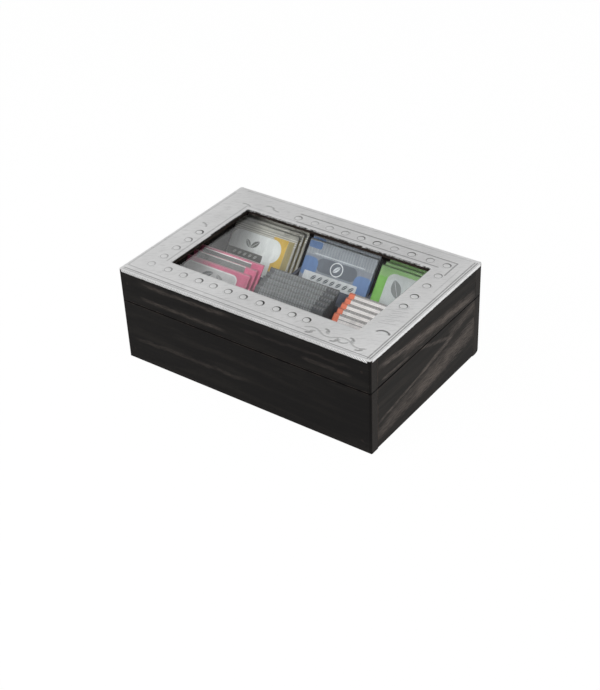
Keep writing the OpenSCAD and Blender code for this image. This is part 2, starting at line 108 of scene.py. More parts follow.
class SheetSettings(bpy.types.PropertyGroup):
    """Embossed metal sheet on the lid."""

    metal: tint("Metal", "Pewter-bright sheet", (231, 231, 231))
    # The patina colour also paints the shade on the hem in the window, the shadows beside the dots and
    # the dark stripes between the glints on the outer flap.
    patina: tint("Patina", "Dark left in the grooves", (40, 39, 38))
    dome: length("Dot height", "How far an embossed dot stands up, in mm", 0.08)
    groove: length("Line depth", "Depth of the drawn lines, in mm", 0.16)
    thickness: length("Thickness", "Thickness of the sheet that shows at its edges, in mm", 0.18)
    brass: tint("Hinge brass", "Hinges, pins and their screws", (176, 142, 78))


class BagSettings(bpy.types.PropertyGroup):
    """Tea bag envelopes."""

    seal: length("Seal", "Flat crimped strip at the top and bottom, in mm", 5.0)
    crimp: length("Crimp spacing", "Distance between two crimped ridges, in mm", 1.1)
    teeth: length("Cut teeth", "Depth of the zigzag cut of the ends, in mm", 0.5)
    pink: tint("Front left", "Envelopes of the front left pile", (193, 82, 117))
    slate: tint("Front middle", "Envelopes of the front middle pile", (60, 61, 63))
    orange: tint("Front right", "Envelopes of the front right pile", (222, 112, 78))
    yellow: tint("Back left", "Envelopes of the back left pile", (224, 184, 80))
    blue: tint("Back middle", "Envelopes of the back middle pile", (106, 134, 180))
    green: tint("Back right", "Envelopes of the back right pile", (124, 186, 84))


class StageSettings(bpy.types.PropertyGroup):
    """Camera, lamps and floor."""

    lens: FloatProperty(name="Lens", description="Focal length of the camera",
                        default=71.83, unit="CAMERA", min=1.0)
    key: power("Key lamp", "Power of the large lamp", 13.6)
    fill: power("Fill lamp", "Power of the soft side lamp", 2.0)
    front: power("Front lamp", "Power of the low lamp that reaches under the lid", 6.5)
    ambient: FloatProperty(name="Ambient", description="Strength of the sky's even light",
                           default=0.4, min=0.0)
    floor: tint("Floor", "Pale floor", (250, 250, 250))


SETTINGS = {
    "tea_box_case": CaseSettings,
    "tea_box_sheet": SheetSettings,
    "tea_box_bags": BagSettings,
    "tea_box_stage": StageSettings,
}


# Writing shader nodes


class Value:
    """An output of a node; sums and products of it write further nodes."""

    def __init__(self, tree, socket):
        self.tree = tree
        self.socket = socket

    def __add__(self, other):
        return self.tree.math("ADD", self, other)

    def __sub__(self, other):
        return self.tree.math("SUBTRACT", self, other)

    def __rsub__(self, other):
        return self.tree.math("SUBTRACT", other, self)

    def __mul__(self, other):
        return self.tree.math("MULTIPLY", self, other)

    def __truediv__(self, other):
        return self.tree.math("DIVIDE", self, other)

    def __abs__(self):
        return self.tree.math("ABSOLUTE", self)


class Tree:
    """Writes shader nodes into one node tree."""

    def __init__(self, tree):
        self.tree = tree
        self.count = 0

    def node(self, kind, **settings):
        made = self.tree.nodes.new(kind)
        made.location = (self.count % 10 * 190, -(self.count // 10) * 260)
        self.count += 1
        for key, value in settings.items():
            setattr(made, key, value)
        return made

    def put(self, socket, value):
        if isinstance(value, Value):
            value = value.socket
        if isinstance(value, bpy.types.NodeSocket):
            self.tree.links.new(value, socket)
        else:
            socket.default_value = value

    def named(self, outputs):
        """The outputs of a node as values, by name."""
        return {socket.name: Value(self, socket) for socket in outputs}

    def write(self, kind, inputs, output=0, **settings):
        """Adds a node with what goes into it, in order or by name, and returns an output."""
        made = self.node(kind, **settings)
        for key, value in inputs.items() if isinstance(inputs, dict) else enumerate(inputs):
            self.put(made.inputs[key], value)
        return Value(self, made.outputs[output])

    def math(self, operation, *values, clamp=False):
        return self.write("ShaderNodeMath", values, operation=operation, use_clamp=clamp)

    def most(self, first, second):
        return self.math("MAXIMUM", first, second)

    def rise(self, value, low, high, to_low=0, to_high=1):
        """A soft step from to_low at low to to_high at high."""
        return self.write("ShaderNodeMapRange", (value, low, high, to_low, to_high),
                          interpolation_type="SMOOTHSTEP")

    def mix(self, factor, first, second, blend="MIX"):
        return self.write("ShaderNodeMix", {0: factor, 6: first, 7: second}, 2,
                          data_type="RGBA", blend_type=blend)

    def vector(self, x, y, z=0):
        return self.write("ShaderNodeCombineXYZ", (x, y, z))

    def parts(self, vector):
        made = self.node("ShaderNodeSeparateXYZ")
        self.put(made.inputs[0], vector)
        return [Value(self, socket) for socket in made.outputs]

    def stretch(self, vector, scale):
        """The vector times one number, or times one for each axis."""
        scales = scale if isinstance(scale, tuple) else (scale,) * 3
        return self.write("ShaderNodeVectorMath", (vector, scales), operation="MULTIPLY")

    def size(self, x, y):
        return self.write("ShaderNodeVectorMath", [self.vector(x, y)], "Value", operation="LENGTH")

    def noise(self, vector, scale, detail=3, roughness=0.55, warp=0):
        """Noise over a vector that is first stretched by the scale."""
        if scale != 1:
            vector = self.stretch(vector, scale)
        return self.write("ShaderNodeTexNoise", {
            "Vector": vector, "Scale": 1, "Detail": detail, "Roughness": roughness,
            "Distortion": warp})

    def object_mm(self):
        """Place on the object, in millimetres."""
        coordinates = self.node("ShaderNodeTexCoord")
        return self.stretch(coordinates.outputs["Object"], 1000)

    def attribute(self, name, output="Fac"):
        return self.write("ShaderNodeAttribute", (), output, attribute_name=name)

    def effect(self, name, **values):
        made = self.node("ShaderNodeGroup", node_tree=bpy.data.node_groups[name])
        for key, value in values.items():
            self.put(made.inputs[key.replace("_", " ")], value)
        return self.named(made.outputs)

    def give(self, name, value):
        """Sets an output of an effect."""
        self.put(self.result[name], value)

    def shade(self, name, value):
        """Sets an input of the material's shader."""
        self.put(self.shader.inputs[name], value)

    def bump(self, height, distance, strength):
        """Raises the material by a height times a distance in mm."""
        self.shade("Normal", self.write("ShaderNodeBump", {
            "Strength": strength, "Distance": distance * MM, "Height": height}))

    def shown(self):
        """What the camera sees, straight or through glass or in a reflection."""
        path = self.node("ShaderNodeLightPath").outputs
        return self.most(path["Is Camera Ray"],
                         self.most(path["Is Glossy Ray"], path["Is Transmission Ray"]))

    def blend(self, factor, first, second):
        """Mixes two shaders into the material."""
        mixed = self.write("ShaderNodeMixShader", (factor, first, second))
        self.put(self.output.inputs["Surface"], mixed)


def new_effect(name, outputs, **inputs):
    """A shader node group; each input is a number, a colour or, where it is None, a vector."""
    tree = bpy.data.node_groups.new(name, "ShaderNodeTree")
    for key, default in inputs.items():
        kind = "Vector" if default is None else "Color" if isinstance(default, tuple) else "Float"
        socket = tree.interface.new_socket(
            key.replace("_", " "), in_out="INPUT", socket_type="NodeSocket" + kind)
        if default is not None:
            socket.default_value = default
    for label in outputs:
        kind = "Color" if label == "Color" else "Float"
        tree.interface.new_socket(label, in_out="OUTPUT", socket_type="NodeSocket" + kind)
    writer = Tree(tree)
    writer.given = writer.named(writer.node("NodeGroupInput").outputs)
    writer.result = writer.node("NodeGroupOutput").inputs
    return writer


def new_material(name):
    """A material with one Principled BSDF, and the writer of its nodes."""
    material = bpy.data.materials.new(name)
    material.use_nodes = True
    material.node_tree.nodes.clear()
    writer = Tree(material.node_tree)
    writer.shader = writer.node("ShaderNodeBsdfPrincipled")
    writer.output = writer.node("ShaderNodeOutputMaterial")
    writer.put(writer.output.inputs["Surface"], writer.shader.outputs[0])
    return material, writer


# Shared effects


def make_wood_grain():
    """Stained grain that runs along X of the vector it is given, in mm."""
    w = new_effect("wood_grain", ["Color", "Roughness", "Height"], Vector=None,
                   Dark=rgb(25, 22, 21), Light=rgb(60, 52, 48), Amount=1)
    at = w.given["Vector"]
    bands = w.noise(at, (0.011, 0.13, 0.13), 3, 0.6, 0.8)
    fibre = w.noise(at, (0.045, 1.5, 1.5), 4, 0.62)
    pores = w.noise(at, (0.16, 5.5, 5.5), 2, 0.5)
    tone = w.rise(bands, 0.38, 0.72, 0, 0.6) + w.rise(fibre, 0.4, 0.75, 0, 0.5)
    pitted = w.rise(pores, 0.34, 0.5, 0.55, 1)
    tone = w.math("MULTIPLY", tone * pitted, w.given["Amount"], clamp=True)
    w.give("Color", w.mix(tone, w.given["Dark"], w.given["Light"]))
    w.give("Roughness", w.rise(fibre, 0.3, 0.7, 0.46, 0.6))
    w.give("Height", fibre * 0.6 + pores * 0.4)


def make_streak():
    """One lighter streak of grain, from (Start U, Start V) to (End U, End V), in mm."""
    w = new_effect("streak", ["Mask"], U=0, V=0, Start_U=0, Start_V=0, End_U=1, End_V=0,
                   Half_width=2, Wobble=1, Seed=0)
    g = w.given
    along = (g["U"] - g["Start U"]) / (g["End U"] - g["Start U"])
    sway = w.noise(w.vector(g["U"] * 0.035, g["Seed"]), 1, 2)
    sway = (sway - 0.5) * g["Wobble"] * 2
    middle = g["Start V"] + (g["End V"] - g["Start V"]) * along + sway
    off = abs(g["V"] - middle) / g["Half width"]
    ends = w.rise(along, -0.03, 0.12) * w.rise(along, 1.03, 0.84)
    place = w.vector(g["U"] * 0.13, g["V"] * 1.9, g["Seed"])
    fibre = w.noise(place, 1, 5, 0.68)
    ragged = off + w.rise(fibre, 0.3, 0.7, 0.35, -0.25)
    w.give("Mask", w.rise(ragged, 1, 0.2) * ends * w.rise(fibre, 0.34, 0.62, 0.12, 1))


def make_edge_wear():
    """Where a bevelled edge is rubbed through its finish."""
    w = new_effect("edge_wear", ["Mask"], Vector=None, Amount=0.6)
    patches = w.noise(w.given["Vector"], 0.09, 4, 0.7)
    w.give("Mask", w.attribute("worn") * w.rise(patches, 0.36, 0.64) * w.given["Amount"])


def make_dot():
    """Outline of a stamped dot and the shadow on its far side; X of Place points there, in mm."""
    w = new_effect("stamped_dot", ["Mask"], Place=None, Strength=0)
    x, y, _ = w.parts(w.given["Place"])
    near = w.size(x, y)
    outline = w.rise(abs(near - 3.2), 0.42, 0.08) * w.rise(w.given["Strength"], 0, 1, 0.26, 0.6)
    beyond = w.size(x + 1.05, y)
    crescent = w.rise(near, 3.7, 3.4) * w.rise(beyond, 3.05, 3.35) * w.given["Strength"]
    w.give("Mask", w.most(outline, crescent))


def make_patch():
    """A rounded rectangle of the printed envelope."""
    w = new_effect("print_patch", ["Mask"], U=0, V=0, Middle_U=0, Middle_V=0, Half_U=10,
                   Half_V=10, Corner=3, Line=0)
    g = w.given
    sides = []
    for axis in ("U", "V"):
        off = abs(g[axis] - g["Middle " + axis])
        inner = g["Half " + axis] - g["Corner"]
        sides.append(off - inner)
    outside = w.size(w.most(sides[0], 0), w.most(sides[1], 0))
    inside = w.math("MINIMUM", w.most(sides[0], sides[1]), 0)
    gap = outside + inside - g["Corner"]
    hollow = w.rise(gap + g["Line"], -0.12, 0.12)
    lined = w.math("GREATER_THAN", g["Line"], 0)
    w.give("Mask", w.rise(gap, 0.12, -0.12) * w.most(hollow, 1 - lined))


def make_leaf():
    """A plain leaf with a midrib."""
    w = new_effect("print_leaf", ["Mask"], U=0, V=0, Middle_U=0, Middle_V=0, Turn=0, Length=8,
                   Width=4)
    g = w.given
    du = g["U"] - g["Middle U"]
    dv = g["V"] - g["Middle V"]
    cosine, sine = w.math("COSINE", g["Turn"]), w.math("SINE", g["Turn"])
    lengthways = du * cosine + dv * sine
    across = abs(dv * cosine - du * sine)
    reach = lengthways / (g["Length"] * 0.5)
    rim = (1 - reach * reach) * g["Width"] * 0.5
    w.give("Mask", w.rise(rim - across, -0.08, 0.12) * w.rise(across, 0.12, 0.26))


def make_hatch():
    """Fine slanting lines between two heights of the envelope."""
    w = new_effect("print_hatch", ["Mask"], U=0, V=0, Low=0, High=80, Spacing=0.9, Slant=1)
    g = w.given
    phase = (g["U"] * g["Slant"] + g["V"]) / g["Spacing"]
    lines = w.rise(w.math("SINE", phase * math.tau), -0.35, 0.75)
    above = w.rise(g["V"], g["Low"] - 0.1, g["Low"] + 0.1)
    below = w.rise(g["V"], g["High"] + 0.1, g["High"] - 0.1)
    w.give("Mask", lines * (above * below))


def make_paper():
    """Crimped ends and soft creases of an envelope, with their shade and light painted into the Shade
    output; U and V in mm.
    """
    w = new_effect("paper_finish", ["Shade", "Height", "Roughness"], U=0, V=0, Height=77.4,
                   Seal=5, Crimp=1.1)
    g = w.given
    from_end = w.math("MINIMUM", g["V"], g["Height"] - g["V"])
    seal = w.rise(from_end, g["Seal"] + 0.3, g["Seal"] - 0.3)
    ridges = w.math("SINE", g["V"] / g["Crimp"] * math.tau)
    place = w.vector(g["U"], g["V"], w.attribute("bag") * 37)
    creases = w.noise(place, (0.09, 0.05, 1), 4, 0.6, 1.2)
    fine = w.noise(place, (1.4, 1.4, 1), 2)
    crimps = seal * ridges
    w.give("Height", crimps * 0.16 + creases * 1.6 + fine * 0.05)
    # Painted shade and light: darker and lighter along the creases and the crimp ridges.
    w.give("Shade", w.rise(creases, 0.3, 0.75, 0.86, 1.06) + crimps * 0.05)
    w.give("Roughness", w.rise(fine, 0.3, 0.7, 0.4, 0.5))


def make_effects():
    for make in (make_wood_grain, make_streak, make_edge_wear, make_dot, make_patch, make_leaf,
                 make_hatch, make_paper):
        make()


# Materials


def stained_wood(name, along, dark, light, streaks=(), streak_colour=None, amount=1,
                 end_strips=0, seam=0):
    """Ebonised wood whose grain runs along X or Y, with its streaks given in mm, and painted shade
    along the seam where its height is given.
    """
    material, w = new_material(name)
    at = w.object_mm()
    x, y, z = w.parts(at)
    turned = at if along == "x" else w.vector(y, x, z)
    grain = w.effect("wood_grain", Vector=turned, Dark=dark, Light=light, Amount=amount)
    colour = grain["Color"]
    if streaks:
        u = x if along == "x" else y
        for seed, (u0, v0, u1, v1, half, wobble, strength) in enumerate(streaks):
            mask = w.effect("streak", U=u, V=z, Start_U=u0, Start_V=v0, End_U=u1, End_V=v1,
                            Half_width=half, Wobble=wobble, Seed=seed * 3.7 + 1.3)["Mask"]
            colour = w.mix(mask * strength, colour, streak_colour)
    if end_strips:
        across = abs(x)
        end = w.rise(across, end_strips - 0.12, end_strips - 0.04)
        dots = w.noise(at, (0.3, 2.6, 2.6), 3, 0.6)
        end_colour = w.mix(w.rise(dots, 0.35, 0.7), rgb(29, 27, 26), rgb(58, 54, 51))
        colour = w.mix(end, colour, end_colour)
    worn = w.effect("edge_wear", Vector=at, Amount=0.45)["Mask"]
    colour = w.mix(worn, colour, rgb(96, 84, 76))
    # Painted shade: near-black along the seam between the lid and the base.
    groove = w.rise(abs(z - seam), 1, 0.55) if seam else 0
    w.shade("Base Color", w.mix(groove, colour, rgb(8, 7, 7)))
    w.shade("Roughness", grain["Roughness"])
    w.bump(grain["Height"], 0.12, 0.5)
    w.shade("Specular IOR Level", 0.05)
    return material


def painted_wood(name, colour):
    """Thin slate paint over smooth board."""
    material, w = new_material(name)
    at = w.object_mm()
    brushed = w.noise(at, (0.2, 0.2, 1.2), 4, 0.6)
    tone = w.mix(w.rise(brushed, 0.3, 0.7), toned(colour, 0.8), colour)
    worn = w.effect("edge_wear", Vector=at, Amount=0.5)["Mask"]
    w.shade("Base Color", w.mix(worn, tone, rgb(120, 116, 112)))
    w.shade("Roughness", w.rise(brushed, 0.3, 0.7, 0.5, 0.62))
    w.bump(brushed, 0.06, 0.5)
    return material


def sheet_metal(name, metal, patina):
    """Satin embossed sheet with patina in its grooves, painted shade on the hem in the window, painted
    shadows beside its dots and painted glints on its hatched outer flap.
    """
    material, w = new_material(name)
    at = w.object_mm()
    x, y, z = w.parts(at)
    clouds = w.noise(at, 0.03, 4, 0.6, 0.4)
    slanted = w.vector(x * 0.09 + y * 0.07, x * -0.75 + y * 0.95)
    strokes = w.noise(slanted, 1, 3, 0.6, 0.3)
    specks = w.noise(at, 1.6, 2)
    bright = w.mix(w.rise(clouds, 0.3, 0.72), toned(metal, 0.94), metal)
    # The sheet is lighter towards its right end.
    lighter_right_colour = tuple(min(1, part * 1.14) for part in metal)
    bright = w.mix(w.rise(x, 55, 115, 0, 0.75), bright, lighter_right_colour)
    bright = w.mix(w.rise(strokes, 0.52, 0.66, 0, 0.16), bright, patina)
    bright = w.mix(w.rise(specks, 0.68, 0.76, 0, 0.2), bright, patina)
    # Painted glints: dark stripes on the outer flap, between which it stays bright like the glints on
    # its hatched fold.
    wave = w.math("SINE", (x + y + z * 1.4) * (math.tau / 2.7))
    flap = w.rise(abs(y), 79.95, 80.15)
    hatch = flap * w.rise(wave, -0.1, 0.6) * 0.55
    rubbed = w.rise(specks, 0.2, 0.6, 0.75, 1.15)
    # The patina attribute holds the patina of the drawn lines and the painted shade on the hem; the dot
    # mask adds the painted shadows beside the dots.
    dark = w.math("MULTIPLY", w.attribute("patina"), rubbed, clamp=True)
    dot = w.effect("stamped_dot", Place=w.attribute("dot", "Vector"),
                   Strength=w.attribute("dot_strength"))
    dark = w.most(w.most(dark, hatch), dot["Mask"])
    w.shade("Base Color", w.mix(dark, bright, patina))
    w.shade("Metallic", 1)
    w.shade("Specular Tint", (0.72, 0.72, 0.72, 1))
    smooth = w.rise(clouds, 0.3, 0.7, 0.44, 0.48) + w.rise(strokes, 0.3, 0.7, -0.03, 0.05)
    w.shade("Roughness", smooth + dark * 0.2)
    w.bump(strokes + specks * 0.3, 0.08, 0.6)
    return material


def turned_metal(name, colour, roughness):
    """Plain drawn metal with fine scratches and duller patches."""
    material, w = new_material(name)
    at = w.object_mm()
    scratches = w.noise(at, (0.4, 6, 6), 3, 0.6)
    clouds = w.noise(at, 0.35, 3)
    w.shade("Base Color", w.mix(w.rise(clouds, 0.35, 0.65), toned(colour, 0.6), colour))
    w.shade("Metallic", 1)
    w.shade("Roughness", w.rise(scratches, 0.3, 0.7, roughness - 0.06, roughness + 0.1))
    w.bump(scratches, 0.02, 0.5)
    return material


def window_glass(name):
    """Clear pane that lets lamp light through to what lies under it."""
    material, w = new_material(name)
    smears = w.noise(w.object_mm(), 0.05, 4, 0.7, 0.8)
    w.shade("Base Color", (0.985, 0.99, 0.99, 1))
    w.shade("Roughness", w.rise(smears, 0.45, 0.75, 0, 0.05))
    w.shade("Transmission Weight", 1)
    w.shade("IOR", 1.48)
    path = w.node("ShaderNodeLightPath").outputs
    clear = w.write("ShaderNodeBsdfTransparent", [(0.93, 0.95, 0.95, 1)])
    lamp_light = w.most(path["Is Shadow Ray"], path["Is Diffuse Ray"])
    w.blend(lamp_light, w.shader.outputs[0], clear)
    return material


# The effect of each kind of printed layer, and the sockets that its numbers go to
PRINTS = {
    "patch": ("print_patch", "Middle_U Middle_V Half_U Half_V Corner Line"),
    "leaf": ("print_leaf", "Middle_U Middle_V Turn Length Width"),
    "leaves": ("print_leaf", "Middle_U Middle_V Turn Length Width"),
    "hatch": ("print_hatch", "Low High Spacing Slant"),
}


def envelope_paper(name, ground, layers, width, paper_edge, settings):
    """Printed envelope: a ground colour and its printed layers, from the lowest up.

    A patch called "behind" is only on the bags behind the foremost one, "front" only on that,
    and "rear" only on the rearmost one. Leaves have their spacing and their reach first.
    """
    material, w = new_material(name)
    place = w.parts(w.node("ShaderNodeTexCoord").outputs["UV"])
    u = (place[0] - 0.5) * width
    v = place[1] * BAG_HEIGHT
    colour = ground
    foremost = w.math("GREATER_THAN", w.attribute("foremost"), 0.5)
    only_on = {"behind": 1 - foremost, "front": foremost,
               "rear": w.math("LESS_THAN", w.attribute("bag"), 0.3)}
    for kind, ink, *values in layers:
        at_u = u
        if kind == "leaves":
            pitch, reach, *values = values
            values = (0, *values)
            at_u = w.math("WRAP", u, pitch / 2, -pitch / 2)
        effect, names = PRINTS.get(kind, PRINTS["patch"])
        mask = w.effect(effect, U=at_u, V=v, **dict(zip(names.split(), values)))["Mask"]
        if kind == "leaves":
            mask = mask * w.rise(abs(u), reach, reach - 0.2)
        if kind in only_on:
            mask = mask * only_on[kind]
        colour = w.mix(mask, colour, ink)
    finish = w.effect("paper_finish", U=u, V=v, Height=BAG_HEIGHT, Seal=settings.seal,
                      Crimp=settings.crimp)
    # Painted shade and light of the creases and crimp ridges, multiplied into the print.
    shade = w.vector(finish["Shade"], finish["Shade"], finish["Shade"])
    colour = w.mix(1, colour, shade, "MULTIPLY")
    cut = w.attribute("cut")
    w.shade("Base Color", w.mix(cut * paper_edge, colour, rgb(226, 224, 220)))
    w.shade("Roughness", finish["Roughness"])
    w.bump(finish["Height"], 0.35, 0.6)
    return material


# Shapes

# Stamped dots: radius of the dome, of the ring pressed round it and of what a dot reaches, and in
# each row the dots' places and strengths
DOT_DOME, DOT_RING, DOT_REACH = 3.1, 3.4, 4.7
DOTS_FRONT = [(-102.2, 0.25), (-84.8, 0.5), (-69.0, 0.55), (-53.4, 0.8), (-39.0, 0.6),
              (-24.3, 0.75), (-9.6, 0.8), (6.5, 1.0), (22.0, 1.0), (36.5, 0.85), (50.0, 0.95)]
DOTS_LEFT = [(-45.8, 0.35), (-30.3, 0.5), (-15.0, 0.6), (-0.6, 0.9)]
DOTS_BACK = [(-44.8, 0.65), (-28.0, 0.35), (-13.2, 0.4), (2.4, 0.55), (18.0, 0.7), (33.4, 0.95),
             (50.0, 0.45), (66.2, 0.85), (83.4, 0.6), (98.8, 0.8)]
DOTS_RIGHT = [(44.8, 0.6), (27.8, 0.7), (9.9, 0.9), (-5.8, 0.85)]


def to_mesh(bm, name):
    mesh = bpy.data.meshes.new(name)
    bm.to_mesh(mesh)
    bm.free()
    return mesh


def place_object(name, data):
    """An object in the scene for a mesh, a lamp or a camera."""
    made = bpy.data.objects.new(name, data)
    bpy.context.scene.collection.objects.link(made)
    return made


def finish_piece(bm, name, node, body, material, smooth=True):
    """Makes the object of a bmesh, which rides on its body and stands for its CAD node."""
    mesh = to_mesh(bm, name)
    piece = place_object(name, mesh)
    mesh.materials.append(material)
    if smooth:
        mesh.polygons.foreach_set("use_smooth", [True] * len(mesh.polygons))
    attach(piece, body)
    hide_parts(node)
    return piece


def repaint(material, *nodes):
    """CAD nodes that keep their own mesh get their material."""
    for node in nodes:
        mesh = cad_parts[node].data
        mesh.materials.clear()
        mesh.materials.append(material)


def number_layers(bm, *names):
    """Layers with a number for each vertex, fetched when all are there."""
    layers = bm.verts.layers.float
    for name in names:
        layers.new(name)
    return [layers[name] for name in names]


def cad_copy(node):
    """A merged copy of a CAD node's mesh, with its flat faces joined."""
    bm = bmesh.new()
    bm.from_mesh(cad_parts[node].data)
    bmesh.ops.remove_doubles(bm, verts=bm.verts, dist=1e-6)
    bmesh.ops.dissolve_limit(bm, angle_limit=math.radians(1), verts=bm.verts, edges=bm.edges)
    return bm


def round_edges(bm, width, keep_clear):
    """Bevels the sharp edges away from the given places; the new faces are marked as worn."""
    worn = bm.faces.layers.float.new("worn")
    sharp = []
    for edge in bm.edges:
        if len(edge.link_faces) != 2 or edge.calc_length() < 0.25 * MM:
            continue
        middle = (edge.verts[0].co + edge.verts[1].co) / 2
        clear = all((middle - place).length >= reach for place, reach in keep_clear)
        if clear and edge.calc_face_angle(0) >= math.radians(30):
            sharp.append(edge)
    made = bmesh.ops.bevel(bm, geom=sharp, offset=width * MM, offset_type="OFFSET", segments=3,
                           profile=0.5, affect="EDGES", clamp_overlap=False, material=-1)
    for face in made["faces"]:
        face[worn] = 1.0


def mark_creases(bm):
    """Keeps corners sharp and broad faces flat; only narrow, rounded faces shade smoothly."""
    sharp, narrow = math.radians(32), 40 * MM * MM
    for edge in bm.edges:
        if len(edge.link_faces) == 2:
            edge.smooth = edge.calc_face_angle(0) < sharp
    for face in bm.faces:
        face.smooth = face.calc_area() < narrow


def dress(node, body, material, slot, name=None, width=0.25, keep_clear=()):
    """A copy of a CAD node with softened edges, which stands for it."""
    bm = cad_copy(node)
    round_edges(bm, width, keep_clear)
    mark_creases(bm)
    finish_piece(bm, name or node + "_dressed", node, body, material, False)


def brad_places(node):
    """Places along each brad, where the boards keep their exact edges, and their reach."""
    spots = []
    board_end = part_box("base_left_board")[1].y
    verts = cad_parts[node].data.vertices
    for sx in (-1, 1):
        for sy in (-1, 1):
            own = [v.co for v in verts if v.co.x * sx > 0 and v.co.y * sy > 0]
            middle = sum(own, Vector()) / len(own)
            outer = max(abs(co.y) for co in own)
            inner = min(abs(co.y) for co in own)
            spots += [(Vector((middle.x, sy * y, middle.z)), 2.2 * MM)
                      for y in (outer, outer - 0.8 * MM, inner, board_end)]
    return spots


def hinge_places():
    """Places along the hinges' rebates, where the back boards keep their exact edges."""
    leaf_low, seam, leaf_high = 0.047, 0.056, 0.065
    inner, middle, outer = 0.0727, 0.0764, 0.0802
    spots = []
    for side in ("left", "right"):
        low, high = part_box("hinge_base_leaf_" + side)
        for step in range(8):
            x = low.x + (high.x - low.x) * step / 7
            spots += [(Vector((x, y, seam)), 4.2 * MM) for y in (inner, middle, outer)]
            spots += [(Vector((x, middle, z)), 6 * MM) for z in (leaf_low, leaf_high)]
    return spots


def spread(stops, step):
    """Numbers from the first stop to the last, with each stop among them."""
    numbers = [stops[0]]
    for a, b in zip(stops, stops[1:]):
        count = max(1, math.ceil((b - a) / step - 1e-6))
        numbers += [a + (b - a) * k / count for k in range(1, count + 1)]
    return np.array(numbers)


def rounded_gap(x, y, low, high, corner):
    """Signed distance to a rounded rectangle, and the direction out of it."""
    cx, cy = (low[0] + high[0]) / 2, (low[1] + high[1]) / 2
    qx = np.abs(x - cx) - ((high[0] - low[0]) / 2 - corner)
    qy = np.abs(y - cy) - ((high[1] - low[1]) / 2 - corner)
    ox, oy = np.maximum(qx, 0), np.maximum(qy, 0)
    out = np.hypot(ox, oy)
    gap = out + np.minimum(np.maximum(qx, qy), 0) - corner
    nx = np.where(out > 1e-9, ox / np.maximum(out, 1e-9), (qx >= qy) * 1.0)
    ny = np.where(out > 1e-9, oy / np.maximum(out, 1e-9), (qx < qy) * 1.0)
    return gap, nx * np.sign(x - cx), ny * np.sign(y - cy)


def fold(along, radius):
    """Place across and drop of a sheet bent down over an edge, from its length past the bend."""
    angle = np.clip(along / radius, 0, math.pi / 2)
    rest = np.maximum(along - radius * math.pi / 2, 0)
    across = np.where(along > 0, radius * np.sin(angle), along)
    return across, radius * (1 - np.cos(angle)) + rest


def off_line(x, y, line):
    """Distance of points from a line of several stretches."""
    nearest = np.full(x.shape, 1e9)
    for (x0, y0), (x1, y1) in zip(line, line[1:]):
        dx, dy = x1 - x0, y1 - y0
        t = np.clip(((x - x0) * dx + (y - y0) * dy) / max(dx * dx + dy * dy, 1e-9), 0, 1)
        nearest = np.minimum(nearest, np.hypot(x - x0 - t * dx, y - y0 - t * dy))
    return nearest


def arc(cx, cy, radius, start, end, count=12):
    """Points on an arc, its angles in degrees."""
    turns = [math.radians(start + (end - start) * k / count) for k in range(count + 1)]
    return [(cx + radius * math.cos(t), cy + radius * math.sin(t)) for t in turns]


def drawn_lines():
    """Lines drawn into the sheet: (points, depth, width, darkness)."""
    lines = [
        ([(-47, 68.3), (104.6, 68.3), (104.6, 48)], 1.0, 0.55, 0.75),
        ([(-43, 55.9), (94, 55.9)], 0.8, 0.6, 0.65),
        ([(-94.3, 55.9), (-43, 55.9)], 0.5, 0.6, 0.15),
        ([(-94.3, -50), (-94.3, 55.9)], 0.7, 0.6, 0.3),
        ([(115.2, -77), (115.2, 77)], 0.9, 0.5, 0.7),
        ([(117.2, -77), (117.2, 77)], 1.0, 0.5, 0.7),
        ([(-117, -75.8), (116, -75.8)], 0.9, 0.5, 0.65),
        ([(-117, -71.0), (60, -71.0)], 0.8, 0.5, 0.35),
        ([(-117, -77.6), (116, -77.6)], 0.6, 0.4, 0.4),
        ([(-117.3, -70), (-117.3, 70)], 0.7, 0.5, 0.25),
        ([(-110, 77.2), (112, 77.2)], 0.7, 0.5, 0.25),
        ([(110.4, 22), (110.4, 60)], 0.4, 0.5, 0.2),
    ]
    # A punched crescent and short curved strokes
    lines.append((arc(107.5, -47.5, 6.2, 35, 150), 1.4, 0.8, 1.0))
    for cx, cy, radius, start, end in ((-76, 57, 8, 60, 118), (-97, 49, 9, 55, 110),
                                       (-108, 7.5, 6, 20, 95), (-66, 71, 10, 230, 275),
                                       (88, -66, 5, 200, 330)):
        lines.append((arc(cx, cy, radius, start, end), 0.8, 0.7, 0.5))
    # Slanting strokes at the right
    for k in range(9):
        y = -34 + k * 3.1
        lines.append(([(97 + (k % 3), y), (109 - (k % 2) * 3, y + 3.6)], 0.45, 0.5, 0.22))
    # A wave with leaves in the front right corner
    wave = [(54 + k, -67.5 + 2.6 * math.sin(k * 0.23)) for k in range(0, 55, 2)]
    lines.append((wave, 0.8, 0.6, 0.45))
    for k in range(5):
        x = 58.5 + k * 11
        up = 1 if k % 2 else -1
        lines.append((arc(x, -67.5 + up * 1.2, 4.2, 25 * up, 95 * up, 6), 1.0, 0.8, 0.7))
        lines.append((arc(x + 4.2, -67.5 + up * 3.2, 2.2, 150 * up, 290 * up, 6), 0.7, 0.6, 0.5))
    return lines


